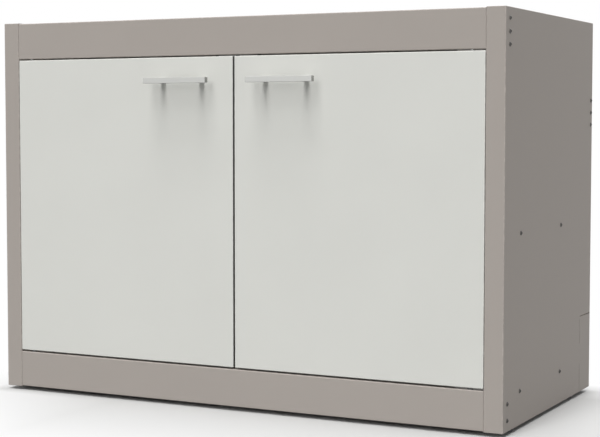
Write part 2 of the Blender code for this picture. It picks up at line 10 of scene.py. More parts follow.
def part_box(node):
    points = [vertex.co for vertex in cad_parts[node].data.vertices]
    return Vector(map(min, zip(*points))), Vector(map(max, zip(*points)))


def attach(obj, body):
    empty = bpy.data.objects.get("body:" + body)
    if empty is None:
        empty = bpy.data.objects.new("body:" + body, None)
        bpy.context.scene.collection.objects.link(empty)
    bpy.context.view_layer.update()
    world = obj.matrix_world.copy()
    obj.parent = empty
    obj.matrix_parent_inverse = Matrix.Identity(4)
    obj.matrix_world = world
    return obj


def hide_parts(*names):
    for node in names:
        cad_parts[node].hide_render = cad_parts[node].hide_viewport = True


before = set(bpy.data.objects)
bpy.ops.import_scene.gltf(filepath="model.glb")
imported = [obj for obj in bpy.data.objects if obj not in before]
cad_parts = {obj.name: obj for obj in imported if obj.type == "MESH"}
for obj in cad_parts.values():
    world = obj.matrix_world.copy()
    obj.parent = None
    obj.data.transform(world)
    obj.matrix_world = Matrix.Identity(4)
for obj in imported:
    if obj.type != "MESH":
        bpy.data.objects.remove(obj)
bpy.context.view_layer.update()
scene = bpy.context.scene

# The studio
# A white cove: a pale floor that runs up into white, a tall softbox in front, strips high and overhead, and
# wide fills at both sides and behind. The camera stands a little above the middle of the cabinet, off its
# right corner.

camera_place = (1.55743, -3.02951, 0.61882)
camera_turn = 0.4757
camera_dip = 0.0579
camera_focal_px = 1497.29
optical_centre_px = (292.714, 206.972)
photo_width_px = 600
photo_height_px = 437
daylight = 0.09
white = (1.0, 1.0, 1.0)
white_strength = 1.0
lit_spot = Vector((0.0, -0.28, 0.42))
lamp_distance = 100.0
# Each lamp's name, its turn round the cabinet and its height, half its width and half its height, all in
# degrees as seen from the cabinet, and its watts.
lamps = (("front_softbox", 0, 31, 12, 20, 47000),
         ("high_strip", 0, 60, 8, 9, 36000),
         ("overhead_strip", 0, 77, 8, 7, 50000),
         ("right_fill", 90, 10, 20, 12, 27000),
         ("left_fill", -90, 10, 20, 12, 27000),
         ("rear_fill", 180, 40, 20, 12, 32000))
floor_size = 60.0
floor_colour = (0.20, 0.20, 0.20)
floor_seen_colour = (0.50, 0.50, 0.495)
floor_roughness = 0.8
footprint = (0.60, 0.28, 0.0)
floor_fade_end = 0.45
fade_margin = 0.04
left_fade_x = (0.30, 0.60)
left_fade_lead = 0.30
rear_fade_y = (0.20, 0.40)
rear_fade_lead = 0.40


class Amount:
    """One socket of a node tree. Sums on it read as plain arithmetic and add their Math nodes."""

    def __init__(self, tree, socket):
        self.tree = tree
        self.socket = socket

    def other(self, name):
        """Another output of the same node."""
        return Amount(self.tree, self.socket.node.outputs[name])

    def _math(self, operation, first, second):
        return self.tree.node("ShaderNodeMath", {"operation": operation}, {0: first, 1: second})

    def __add__(self, value):
        return self._math("ADD", self, value)

    def __sub__(self, value):
        return self._math("SUBTRACT", self, value)

    def __rsub__(self, value):
        return self._math("SUBTRACT", value, self)

    def __mul__(self, value):
        return self._math("MULTIPLY", self, value)

    __radd__ = __add__
    __rmul__ = __mul__


class Tree:
    """A node tree in the making, of a finish, of the world or of a shape."""

    def __init__(self, tree):
        self.tree = tree

    def node(self, kind, settings=None, sockets=None, output=0):
        """Add a node: its settings come first, then the values or links of its sockets."""
        made = self.tree.nodes.new(kind)
        for name, value in (settings or {}).items():
            setattr(made, name, value)
        self.feed(made, sockets or {})
        return Amount(self, made.outputs[output])

    def feed(self, node, sockets):
        """Set or link sockets of a node. A list links several shapes to one socket."""
        for name, value in sockets.items():
            socket = node.inputs[name]
            for item in value if isinstance(value, list) else [value]:
                if isinstance(item, Amount):
                    self.tree.links.new(item.socket, socket)
                elif socket.type == "RGBA":
                    socket.default_value = (*item, 1.0)
                else:
                    socket.default_value = item


def new_finish(name):
    """A material, its tree and its main shader."""
    material = bpy.data.materials.new(name)
    material.use_nodes = True
    return material, Tree(material.node_tree), material.node_tree.nodes["Principled BSDF"]


def seen_ray(tree):
    """1 on the rays that show the backdrop: the camera's own, and those by way of metal or glass."""
    ray = tree.node("ShaderNodeLightPath", output="Is Camera Ray")
    return ray + ray.other("Is Glossy Ray") + ray.other("Is Transmission Ray")


def ramp(paint, mask, low, high):
    """Spread the part of a mask between two values over 0 to 1."""
    return paint.node("ShaderNodeMapRange", sockets={"Value": mask, "From Min": low, "From Max": high})


def shade(paint, mask, dark, light):
    """One colour where the mask is 0, the other where it is 1."""
    return paint.node("ShaderNodeMix", {"data_type": "RGBA"}, {0: mask, 6: dark, 7: light}, 2)


camera = bpy.data.objects.new("camera", bpy.data.cameras.new("camera"))
camera.location = camera_place
camera.rotation_euler = (math.pi / 2 - camera_dip, 0, camera_turn)
camera.data.lens = camera_focal_px * camera.data.sensor_width / photo_width_px
camera.data.shift_x = (photo_width_px / 2 - optical_centre_px[0]) / photo_width_px
camera.data.shift_y = (optical_centre_px[1] - photo_height_px / 2) / photo_width_px
scene.collection.objects.link(camera)
scene.camera = camera
scene.view_settings.view_transform = "Standard"

scene.world = bpy.data.worlds.new("cove")
scene.world.use_nodes = True
sky = Tree(scene.world.node_tree)
open_light = sky.node("ShaderNodeBackground", sockets={"Color": white, "Strength": daylight})
white_wall = sky.node("ShaderNodeBackground", sockets={"Color": white, "Strength": white_strength})
cove = sky.node("ShaderNodeMixShader", sockets={0: seen_ray(sky), 1: open_light, 2: white_wall})
sky.feed(scene.world.node_tree.nodes["World Output"], {"Surface": cove})

for label, side_turn, height, half_wide, half_high, watts in lamps:
    lamp = bpy.data.objects.new(label, bpy.data.lights.new(label, "AREA"))
    lamp.data.shape = "RECTANGLE"
    lamp.data.size = 2 * lamp_distance * math.tan(math.radians(half_wide))
    lamp.data.size_y = 2 * lamp_distance * math.tan(math.radians(half_high))
    lamp.data.energy = watts
    lamp.rotation_euler = (math.radians(90 - height), 0, math.radians(side_turn))
    lamp.location = lit_spot + lamp.rotation_euler.to_matrix() @ Vector((0, 0, lamp_distance))
    scene.collection.objects.link(lamp)

# The floor fades into white with the distance from the cabinet, and sooner at its left and behind it.
half_floor = floor_size / 2
floor_mesh = bpy.data.meshes.new("floor")
floor_corners = [(x, y, 0) for x, y in ((-1, -1), (1, -1), (1, 1), (-1, 1))]
floor_mesh.from_pydata([Vector(c) * half_floor for c in floor_corners], [], [(0, 1, 2, 3)])
floor_paint, paint, shader = new_finish("floor_paint")
place = paint.node("ShaderNodeTexCoord", output="Object")
quadrant = paint.node("ShaderNodeVectorMath", {"operation": "ABSOLUTE"}, {0: place})
beyond = paint.node("ShaderNodeVectorMath", {"operation": "SUBTRACT"}, {0: quadrant, 1: footprint})
outside = paint.node("ShaderNodeVectorMath", {"operation": "MAXIMUM"}, {0: beyond, 1: (0, 0, 0)})
reach = paint.node("ShaderNodeVectorMath", {"operation": "LENGTH"}, {0: outside}, "Value")
across = paint.node("ShaderNodeSeparateXYZ", sockets={0: place}, output="X")
leftward = ramp(paint, 0 - across, *left_fade_x)
rearward = ramp(paint, across.other("Y"), *rear_fade_y)
clear_of_it = ramp(paint, reach, 0.0, fade_margin)
lead = (leftward * left_fade_lead + rearward * rear_fade_lead) * clear_of_it
fade = ramp(paint, reach + lead, 0.0, floor_fade_end)
seen = seen_ray(paint)
glow = paint.node("ShaderNodeEmission", sockets={"Color": white, "Strength": white_strength})
paint.feed(shader, {"Base Color": shade(paint, seen, floor_colour, floor_seen_colour),
                    "Roughness": floor_roughness})
lit = Amount(paint, shader.outputs[0])
cove_floor = paint.node("ShaderNodeMixShader", sockets={0: fade * seen, 1: lit, 2: glow})
paint.feed(floor_paint.node_tree.nodes["Material Output"], {"Surface": cove_floor})
floor_mesh.materials.append(floor_paint)
floor = bpy.data.objects.new("floor", floor_mesh)
scene.collection.objects.link(floor)

# The side panels
# Each side is one sheet of steel with a warm grey powder coat, baked on after folding. The front is folded
# into a hollow stile and the back into a flange, and the top and bottom edges are folded in. A pipe
# knock-out is slit into the rear bottom corner, and the feet's nuts are pressed into the bottom.

carcass_colour = (0.392, 0.357, 0.328)
carcass_roughness = 0.50
# A near-black colour: painted shade on the door edges that face each other across the narrow middle gap,
# where little light gets in.
gap_shade_colour = (0.060, 0.057, 0.052)
paint_shine = 0.08
cloud_size = 0.21
cloud_shares = (0.965, 1.03)
peel_size = 0.0042
peel_depth = 0.00003
grain_size = 0.0007
grain_depth = 0.00002
grain_share = 1.35
wear_size = 0.012
worn_share = 1.45

carcass_sheet = 0.0012
fold_inner_radius = 0.0008
fold_outer_radius = fold_inner_radius + carcass_sheet
bend_steps = 6
stile_return_depth = 0.028
stile_lip_width = 0.014
rear_flange_width = 0.025
top_flange_width = 0.030
bottom_flange_width = 0.040
rim_radius = 0.0010
rim_steps = 3
knockout_width = 0.081
knockout_height = 0.172
knockout_slit = 0.0018
knockout_tab = 0.045
knockout_corner_tab = 0.006
rail_height = 0.080
rail_screw_setback = 0.024
top_screw_rises = (0.009, 0.034, 0.060)
bottom_screw_rises = (0.021, 0.054)
rear_screw_setback = 0.012
rear_screw_pitch = 0.0272
shelf_screw_setback = 0.099
shelf_screw_spacing = 0.266
shelf_screw_drop = 0.012
foot_inset = 0.018
foot_setbacks = {"front": 0.070, "rear": 0.470}
screw_hole_radius = 0.0033
foot_hole_radius = 0.0043
hole_sides = 28
overcut = 0.004
clearance = 0.0003
tiny = 0.0001
square_on = 0.9
upright = 0.1


def spans(node):
    """The pairs of x, y and z between which a node lies."""
    return list(zip(*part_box(node)))


def middle_of(node):
    """The x, y and z half way through a node."""
    return [(low + high) / 2 for low, high in spans(node)]


panel_low, panel_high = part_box("side_panel_right")
half_width = panel_high.x
stile_edge = panel_low.x
front = panel_low.y
back = panel_high.y
base = panel_low.z
top = panel_high.z
bottom_rail_low = base + carcass_sheet + clearance
bottom_rail_high = bottom_rail_low + rail_height
top_rail_high = top - carcass_sheet - clearance
top_rail_low = top_rail_high - rail_height
middle_shelf_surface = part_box("middle_shelf")[1].z
rear_rail_middle = middle_of("rear_cross_rail")[2]
rail_screw_y = front + rail_screw_setback
rear_screw_y = back - rear_screw_setback
shelf_screw_y = (front + shelf_screw_setback, front + shelf_screw_setback + shelf_screw_spacing)
fixings = {
    "top_rail": [(rail_screw_y, top_rail_low + rise) for rise in top_screw_rises],
    "bottom_rail": [(rail_screw_y, bottom_rail_low + rise) for rise in bottom_screw_rises],
    "rear_rail": [(rear_screw_y, rear_rail_middle + n * rear_screw_pitch) for n in (-1, 0, 1)],
    "lower_shelf": [(y, bottom_rail_high - shelf_screw_drop) for y in shelf_screw_y],
    "middle_shelf": [(y, middle_shelf_surface - shelf_screw_drop) for y in shelf_screw_y],
}
sides = (("left", -1), ("right", 1))
foot_x = half_width - foot_inset
foot_y = {end: front + setback for end, setback in foot_setbacks.items()}


def noise(paint, place, size, detail=2.0, stretch=None):
    """A noise whose features are about the given size in metres."""
    if stretch:
        place = paint.node("ShaderNodeMapping", sockets={"Vector": place, "Scale": stretch})
    return paint.node("ShaderNodeTexNoise", sockets={"Vector": place, "Scale": 1 / size, "Detail": detail})


def scaled(colour, share):
    """A colour made darker or lighter, white at the most."""
    return tuple(min(1.0, c * share) for c in colour)


def marked(paint, label):
    """1 on the faces that carry the mark, 0 on the others."""
    return paint.node("ShaderNodeAttribute", {"attribute_name": label}, output="Fac")


def roughen(paint, layers):
    """Stack bumps, coarse ones first. A layer is a height mask and its depth in metres."""
    normal = None
    for mask, depth in layers:
        sockets = {"Height": mask, "Distance": depth, "Strength": 1.0}
        if normal:
            sockets["Normal"] = normal
        normal = paint.node("ShaderNodeBump", sockets=sockets)
    return normal


def powder_coat(name, colour, roughness):
    """Baked powder: fine grain over a slow orange peel, faint clouding, thinner paint on the folds, and
    painted shade, nearly black, on the edges that face each other across a narrow gap."""
    material, paint, shader = new_finish(name)
    place = paint.node("ShaderNodeTexCoord", output="Object")
    clouds = noise(paint, place, cloud_size, detail=3.0)
    peel = noise(paint, place, peel_size)
    grain = noise(paint, place, grain_size, detail=3.0)
    wear = ramp(paint, noise(paint, place, wear_size, detail=4.0), low=0.42, high=0.68)
    thin = marked(paint, "fold") * wear
    mottled = shade(paint, clouds, scaled(colour, cloud_shares[0]), scaled(colour, cloud_shares[1]))
    specks = ramp(paint, grain, low=0.35, high=0.75) * 0.14
    speckled = shade(paint, specks, mottled, scaled(colour, grain_share))
    worn = shade(paint, thin * 0.45, speckled, scaled(colour, worn_share))
    # Painted shade: faces marked as lying across a narrow gap are darkened towards near black.
    gap_shaded = shade(paint, marked(paint, "narrow_gap") * (0.60 + clouds * 0.2), worn, gap_shade_colour)
    gloss = roughness + (clouds - 0.5) * 0.10 + (peel - 0.5) * 0.10 - thin * 0.12
    surface = roughen(paint, ((peel, peel_depth), (grain, grain_depth)))
    paint.feed(shader, {"Base Color": gap_shaded, "Roughness": gloss, "Normal": surface,
                        "Specular IOR Level": paint_shine})
    return material


def shape_tree(name, inputs):
    """Start a geometry tree with named inputs, and give its input node."""
    group = bpy.data.node_groups.new(name, "GeometryNodeTree")
    group.interface.new_socket("Geometry", in_out="INPUT", socket_type="NodeSocketGeometry")
    for label, kind in inputs.items():
        group.interface.new_socket(label, in_out="INPUT", socket_type=f"NodeSocket{kind}")
    group.interface.new_socket("Geometry", in_out="OUTPUT", socket_type="NodeSocketGeometry")
    tree = Tree(group)
    return tree, tree.node("NodeGroupInput")


def finish_tree(tree, geometry, finish):
    """End a geometry tree: its copies made real, with their finish."""
    real = tree.node("GeometryNodeRealizeInstances", sockets={"Geometry": geometry})
    dressed = tree.node("GeometryNodeSetMaterial", sockets={"Geometry": real, "Material": finish})
    tree.feed(tree.tree.nodes.new("NodeGroupOutput"), {"Geometry": dressed})


def folded_sheet_tree():
    """A sheet folded along a path. Each path point has the bend radius of the path's own face."""
    inputs = {"Run": "Vector", "Sheet": "Float", "Bend Steps": "Int", "Finish": "Material"}
    tree, start = shape_tree("folded_sheet", inputs)
    radius = tree.node("GeometryNodeInputNamedAttribute", {"data_type": "FLOAT"}, {"Name": "bend_radius"})
    path = tree.node("GeometryNodeMeshToCurve", sockets={"Mesh": start})
    bent = tree.node("GeometryNodeFilletCurve", {"mode": "POLY"},
                     {"Curve": path, "Count": start.other("Bend Steps"), "Radius": radius})
    line = tree.node("GeometryNodeCurveToMesh", sockets={"Curve": bent})
    skin = tree.node("GeometryNodeExtrudeMesh", {"mode": "EDGES"},
                     {"Mesh": line, "Offset": start.other("Run"), "Offset Scale": 1.0})
    far = tree.node("GeometryNodeExtrudeMesh", {"mode": "FACES"},
                    {"Mesh": skin, "Offset Scale": start.other("Sheet"), "Individual": False})
    near = tree.node("GeometryNodeFlipFaces", sockets={"Mesh": skin})
    both = tree.node("GeometryNodeJoinGeometry", sockets={"Geometry": [far, near]})
    solid = tree.node("GeometryNodeMergeByDistance", sockets={"Geometry": both, "Distance": tiny / 10})
    finish_tree(tree, solid, start.other("Finish"))
    return tree


def settle(helper):
    """Fix an object's modifiers into a plain mesh, and drop the object."""
    graph = bpy.context.evaluated_depsgraph_get()
    mesh = bpy.data.meshes.new_from_object(helper.evaluated_get(graph), preserve_all_data_layers=True,
                                           depsgraph=graph)
    bpy.data.objects.remove(helper)
    return mesh


def hold(name, mesh):
    """An object in the scene that holds a mesh."""
    shape = bpy.data.objects.new(name, mesh)
    scene.collection.objects.link(shape)
    return shape


def grow(name, mesh, tree, values):
    """Run a geometry tree on a mesh, with its named inputs set, and keep the result."""
    helper = hold(name, mesh)
    modifier = helper.modifiers.new(name, "NODES")
    modifier.node_group = tree.tree
    for item in tree.tree.interface.items_tree:
        if item.in_out == "INPUT" and item.name in values:
            modifier[item.identifier] = values[item.name]
    return settle(helper)


def to_mesh(name, bm):
    """A closed shape in the making as a mesh, its faces pointing outwards."""
    bmesh.ops.recalc_face_normals(bm, faces=bm.faces)
    mesh = bpy.data.meshes.new(name)
    bm.to_mesh(mesh)
    bm.free()
    return mesh


def folded(name, path, radii, run, sheet, finish):
    """A folded sheet as a closed mesh. A positive sheet lies to the left of the path, seen against run."""
    mesh = bpy.data.meshes.new(name)
    mesh.from_pydata(path, [(i, i + 1) for i in range(len(path) - 1)], [])
    mesh.attributes.new("bend_radius", "FLOAT", "POINT").data.foreach_set("value", radii)
    values = {"Run": tuple(run), "Sheet": sheet, "Bend Steps": bend_steps, "Finish": finish}
    solid = grow(name, mesh, folded_sheet, values)
    bm = bmesh.new()
    bm.from_mesh(solid)
    return to_mesh(name, bm)


def block(bm, x, y, z):
    """A box between pairs of x, y and z."""
    corners = [bm.verts.new((cx, cy, cz)) for cx in sorted(x) for cy in sorted(y) for cz in sorted(z)]
    for ring in ((0, 1, 3, 2), (4, 6, 7, 5), (0, 4, 5, 1), (2, 3, 7, 6), (0, 2, 6, 4), (1, 5, 7, 3)):
        bm.faces.new([corners[i] for i in ring])


def turned(bm, centre, axis, rows, sides, closed=False):
    """A turned shape. A row is a radius, a distance along the axis and, where it isn't round, its form."""
    place = Matrix.Translation(centre) @ Vector(axis).to_track_quat("Z", "Y").to_matrix().to_4x4()
    rings = []
    for radius, along, *form in rows:
        ring = []
        for n in range(sides):
            angle = 2 * math.pi * n / sides
            r = form[0](radius, angle, along) if form else radius
            ring.append(bm.verts.new(place @ Vector((r * math.cos(angle), r * math.sin(angle), along))))
        rings.append(ring)
    for one, two in zip(rings, rings[1:] + (rings[:1] if closed else [])):
        for n in range(sides):
            bm.faces.new((one[n], one[n - 1], two[n - 1], two[n]))
    if not closed:
        bm.faces.new(rings[0])
        bm.faces.new(rings[-1])


def bore(bm, centre, axis, radius, depth=2 * overcut):
    """A round cutter, half of it on each side of its centre."""
    turned(bm, centre, axis, ((radius, -depth / 2), (radius, depth / 2)), hole_sides)


def side_bores(bm, sign, group):
    """Cutters for the screw holes of one group of fixings."""
    for y, z in fixings[group]:
        bore(bm, (sign * half_width, y, z), (1, 0, 0), screw_hole_radius)


def machine(name, mesh, steps):
    """Join solids to a mesh, or cut them out of it, in turn."""
    work = hold(name, mesh)
    guides = []
    for number, (operation, bm) in enumerate(steps):
        guides.append(hold(f"{name}_step_{number}", to_mesh(f"{name}_step_{number}", bm)))
        modifier = work.modifiers.new(f"step_{number}", "BOOLEAN")
        modifier.operation = operation
        modifier.solver = "EXACT"
        modifier.object = guides[-1]
    mesh = settle(work)
    for guide in guides:
        bpy.data.objects.remove(guide)
    return mesh


def coated(mesh, finish):
    """An object that holds a mesh with one finish, shaded smooth, ready for its modifiers."""
    mesh.materials.clear()
    mesh.materials.append(finish)
    mesh.shade_smooth()
    return hold("coated", mesh)


def levelled(helper):
    """Keep the flat faces beside rounded edges flat in the light, and fix all modifiers."""
    weights = helper.modifiers.new("flat_faces", "WEIGHTED_NORMAL")
    weights.keep_sharp = True
    return settle(helper)


def finished(mesh, finish, crease=math.radians(32)):
    """One finish on a mesh, smooth over its bends and sharp where faces meet at more than the crease."""
    helper = coated(mesh, finish)
    mesh.set_sharp_from_angle(angle=crease)
    return levelled(helper)


def mark_faces(mesh, label, chosen):
    """Write on each face whether it is one of the chosen, for its finish to read."""
    marks = [float(chosen(face)) for face in mesh.polygons]
    mesh.attributes.new(label, "FLOAT", "FACE").data.foreach_set("value", marks)


def painted(mesh, finish):
    """A powder coated sheet, with a mark on each face that belongs to a fold."""
    straight = 0.995
    mark_faces(mesh, "fold", lambda face: max(abs(c) for c in face.normal) < straight)
    return finished(mesh, finish)


def piece(name, mesh, body, slot, *nodes):
    """Keep a finished piece on its body and hide the nodes that it stands for. The slot of its finish is
    not used.
    """
    mesh.name = name
    shape = hold(name, mesh)
    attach(shape, body)
    if nodes:
        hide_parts(*nodes)


def round_rim(mesh, sign):
    """Round the outer edge of the top and bottom, where the sheet is folded in."""
    bm = bmesh.new()
    bm.from_mesh(mesh)
    bmesh.ops.dissolve_limit(bm, angle_limit=math.radians(1), verts=bm.verts, edges=bm.edges)
    centre = Vector((sign * (half_width - bottom_flange_width / 2), (front + back) / 2, 0))
    edges = []
    for edge in bm.edges:
        spot = (edge.verts[0].co + edge.verts[1].co) / 2
        outer = (abs(spot.x) > half_width - fold_outer_radius or spot.y < front + tiny
                 or spot.y > back - tiny)
        level = min(abs(spot.z - top), abs(spot.z - base)) < tiny
        if level and outer and len(edge.link_faces) == 2:
            wall = min(edge.link_faces, key=lambda f: abs(f.normal.z))
            cap = max(edge.link_faces, key=lambda f: abs(f.normal.z))
            away = (spot - centre).dot(wall.normal) > 0
            if away and abs(wall.normal.z) < upright and abs(cap.normal.z) > square_on:
                edges.append(edge)
    bmesh.ops.bevel(bm, geom=edges, offset=rim_radius, offset_type="OFFSET", segments=rim_steps,
                    profile=0.5, affect="EDGES", clamp_overlap=False)
    bm.to_mesh(mesh)
    bm.free()
    return mesh


def knockout_slits(bm, sign):
    """Cutters for the slits round the pipe knock-out, which its tabs interrupt."""
    x = (sign * (half_width - overcut), sign * (half_width + overcut))
    slit = back - knockout_width
    high = base + knockout_height
    waist = base + knockout_height / 2
    lower_part = (base + fold_outer_radius, waist - knockout_tab / 2)
    upper_part = (waist + knockout_tab / 2, high - knockout_corner_tab)
    for span in (lower_part, upper_part):
        block(bm, x, (slit, slit + knockout_slit), span)
    block(bm, x, (slit, back - fold_outer_radius), (high - knockout_slit, high))


folded_sheet = folded_sheet_tree()
carcass_paint = powder_coat("carcass_paint", carcass_colour, carcass_roughness)
for side, sign in sides:
    name = f"side_panel_{side}"
    plan = ((half_width - rear_flange_width, back), (half_width, back), (half_width, front),
            (stile_edge, front), (stile_edge, front + stile_return_depth),
            (stile_edge + stile_lip_width, front + stile_return_depth))
    path = [(sign * x, y, base) for x, y in plan]
    mesh = folded(name, path, [fold_outer_radius] * len(path), (0, 0, top - base), -sign * carcass_sheet,
                  carcass_paint)
    flanges = bmesh.new()
    half_sheet = carcass_sheet / 2
    for width, z in ((top_flange_width, (top - carcass_sheet, top)),
                     (bottom_flange_width, (base, base + carcass_sheet))):
        block(flanges, (sign * (half_width - width), sign * (half_width - half_sheet)),
              (front + half_sheet, back - half_sheet), z)
    notches = bmesh.new()
    notch_x = (sign * (stile_edge - overcut), sign * (stile_edge + stile_lip_width + overcut))
    notch_y = (front + carcass_sheet, front + stile_return_depth + overcut)
    block(notches, notch_x, notch_y, (base + carcass_sheet, bottom_rail_high + clearance))
    block(notches, notch_x, notch_y, (top_rail_low - clearance, top - carcass_sheet))
    holes = bmesh.new()
    for group in fixings:
        side_bores(holes, sign, group)
    for y in foot_y.values():
        bore(holes, (sign * foot_x, y, base), (0, 0, 1), foot_hole_radius)
    knockout_slits(holes, sign)
    mesh = machine(name, mesh, (("UNION", flanges), ("DIFFERENCE", notches), ("DIFFERENCE", holes)))
    mesh = painted(round_rim(mesh, sign), carcass_paint)
    piece(f"folded_{name}", mesh, "carcass", "carcass_paint", name)

# The front rails
# Two channels of the same sheet close the front between the stiles. Each has a lip that stops the doors,
# and at each end a plate that stiffens the corner round the door's pin, and a bracket, welded behind its
# face, that runs on behind the stile and is screwed to the side. A tongue carries the magnetic catch.

rail_setback = 0.0005
rail_end_gap = 0.0006
rail_flange_depth = 0.030
bracket_depth = 0.036
bracket_overlap = 0.012
stop_lip_height = 0.013
pin_hole_radius = 0.0033
pivot_plate_reach = 0.035
upper_plate_depth = 0.050
peg_hole_radius = 0.0025
catch_peg_inset = 0.0035
catch_tongue_overlap = 0.008
rail_face = front + rail_setback
rail_end = stile_edge - rail_end_gap
inner_side = half_width - carcass_sheet - clearance
lower_shelf_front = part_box("lower_shelf")[0].y
stop_lip_front = lower_shelf_front - carcass_sheet - clearance
hinge_x, hinge_y = middle_of("lower_pivot_right")[:2]
door_low, door_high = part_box("door_skin_right")
corner_sweep = math.hypot(door_high.x - hinge_x, door_high.y - hinge_y)
stop_lip_end = hinge_x - corner_sweep - overcut
pivot_plate_x = (stop_lip_end - pivot_plate_reach, inner_side - carcass_sheet - clearance)
pivot_plate_front = stop_lip_front - fold_inner_radius - overcut - carcass_sheet
catch_low, catch_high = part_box("catch_body")
catch_tongue_low = top_rail_low + carcass_sheet / 2
catch_peg_x = catch_high.x - catch_peg_inset
catch_peg_y = (catch_low.y + catch_high.y) / 2


def front_rail(name, low, high, lip_side, group):
    """A rail whose lip stands on its top where lip_side is 1, and hangs from its bottom where it is -1."""
    near, far = (high, low) if lip_side > 0 else (low, high)
    section = ((front + rail_flange_depth, far), (rail_face, far), (rail_face, near),
               (stop_lip_front, near), (stop_lip_front, near + lip_side * stop_lip_height))
    path = [(-rail_end, y, z) for y, z in section]
    radii = (0, fold_outer_radius, fold_outer_radius, fold_inner_radius, 0)
    channel = folded(name, path, radii, (2 * rail_end, 0, 0), -lip_side * carcass_sheet, carcass_paint)
    lip_y = (stop_lip_front - fold_inner_radius - overcut, stop_lip_front + carcass_sheet + overcut)
    lip_z = (near - lip_side * (carcass_sheet + overcut), near + lip_side * (stop_lip_height + overcut))
    plate_back = pivot_plate_front + upper_plate_depth if lip_side < 0 else lower_shelf_front - clearance
    bracket_low = low + carcass_sheet + clearance
    bracket_height = high - carcass_sheet - clearance - bracket_low
    bracket_y = front + carcass_sheet + clearance
    bracket_plan = ((rail_end - bracket_overlap, bracket_y), (inner_side, bracket_y),
                    (inner_side, bracket_y + bracket_depth))
    ends = bmesh.new()
    joined = bmesh.new()
    holes = bmesh.new()
    for sign in (-1, 1):
        block(ends, (sign * stop_lip_end, sign * (rail_end + overcut)), lip_y, lip_z)
        bracket = folded(f"{name}_bracket", [(sign * x, y, bracket_low) for x, y in bracket_plan],
                         [fold_outer_radius] * len(bracket_plan), (0, 0, bracket_height),
                         sign * carcass_sheet, carcass_paint)
        joined.from_mesh(bracket)
        side_bores(holes, sign, group)
        bore(holes, (sign * hinge_x, hinge_y, near), (0, 0, 1), pin_hole_radius)
        block(joined, [sign * x for x in pivot_plate_x], (pivot_plate_front, plate_back),
              (near, near - lip_side * carcass_sheet))
    if lip_side < 0:
        room = catch_high.x + clearance
        block(ends, (-room, room), lip_y, lip_z)
        block(joined, (catch_low.x, catch_high.x), (lip_y[0] - catch_tongue_overlap, catch_high.y),
              (catch_tongue_low, catch_tongue_low + carcass_sheet))
        for sign in (-1, 1):
            bore(holes, (sign * catch_peg_x, catch_peg_y, catch_tongue_low), (0, 0, 1), peg_hole_radius)
    mesh = machine(name, channel, (("DIFFERENCE", ends), ("UNION", joined), ("DIFFERENCE", holes)))
    piece(f"folded_{name}", painted(mesh, carcass_paint), "carcass", "carcass_paint", name)


front_rail("top_front_rail", top_rail_low, top_rail_high, -1, "top_rail")
front_rail("bottom_front_rail", bottom_rail_low, bottom_rail_high, 1, "bottom_rail")

# The rear rail
# A channel pan across the open back, inside the rear flanges. It keeps the sides square and takes the
# four wall screws.

wall_hole_radius = 0.0045
wall_hole_x = (0.210, 0.420)


def pan(name, x, y, z, open_side, thickness, outer_radius):
    """A pan folded from one sheet and welded at its corners: a box with one side left open."""
    bm = bmesh.new()
    block(bm, x, y, z)
    bmesh.ops.recalc_face_normals(bm, faces=bm.faces)
    lid = [f for f in bm.faces if f.normal.dot(Vector(open_side)) > square_on]
    bmesh.ops.delete(bm, geom=lid, context="FACES_ONLY")
    folds = [e for e in bm.edges if len(e.link_faces) == 2]
    bmesh.ops.bevel(bm, geom=folds, offset=outer_radius, offset_type="OFFSET", segments=bend_steps,
                    profile=0.5, affect="EDGES", clamp_overlap=True)
    bmesh.ops.recalc_face_normals(bm, faces=bm.faces)
    centre = Vector((sum(x), sum(y), sum(z))) / 2
    plate = max(bm.faces, key=lambda f: f.calc_area())
    if plate.normal.dot(plate.calc_center_median() - centre) < 0:
        bmesh.ops.reverse_faces(bm, faces=bm.faces)
    mesh = bpy.data.meshes.new(name)
    bm.to_mesh(mesh)
    bm.free()
    helper = hold(name, mesh)
    wall = helper.modifiers.new("sheet", "SOLIDIFY")
    wall.thickness = thickness
    wall.offset = -1
    wall.use_even_offset = True
    return settle(helper)


rear_pan = pan("rear_cross_rail", *spans("rear_cross_rail"), (0, -1, 0), carcass_sheet, fold_outer_radius)
rear_holes = bmesh.new()
for side, sign in sides:
    side_bores(rear_holes, sign, "rear_rail")
    for x in wall_hole_x:
        bore(rear_holes, (sign * x, back, rear_rail_middle), (0, 1, 0), wall_hole_radius)
rear_pan = machine("rear_cross_rail", rear_pan, (("DIFFERENCE", rear_holes),))
piece("folded_rear_rail", painted(rear_pan, carcass_paint), "carcass", "carcass_paint", "rear_cross_rail")

# The shelves
# Two pans, open below, screwed through the sides. The lower one is cut back at its front corners to pass
# the brackets of the front rail.

bracket_room = 0.016
bracket_room_x = half_width - bracket_room
bracket_end = front + carcass_sheet + bracket_depth + 2 * clearance

for name in ("lower_shelf", "middle_shelf"):
    x, y, z = spans(name)
    deck = pan(name, x, y, z, (0, 0, -1), carcass_sheet, fold_outer_radius)
    cuts = bmesh.new()
    for side, sign in sides:
        side_bores(cuts, sign, name)
        if name == "lower_shelf":
            block(cuts, (sign * bracket_room_x, sign * (inner_side + overcut)),
                  (y[0] - overcut, bracket_end), (z[0] - overcut, z[1] + overcut))
    deck = machine(name, deck, (("DIFFERENCE", cuts),))
    piece(f"folded_{name}", painted(deck, carcass_paint), "carcass", "carcass_paint", name)

# The frame screws, strips and nuts
# Button-head M6 machine screws, black oxide, with a hex socket. At the rails they go into tapped steel
# strips behind the sheet, and at the shelves into nuts pressed into the folded ends. The feet screw
# through larger nuts.

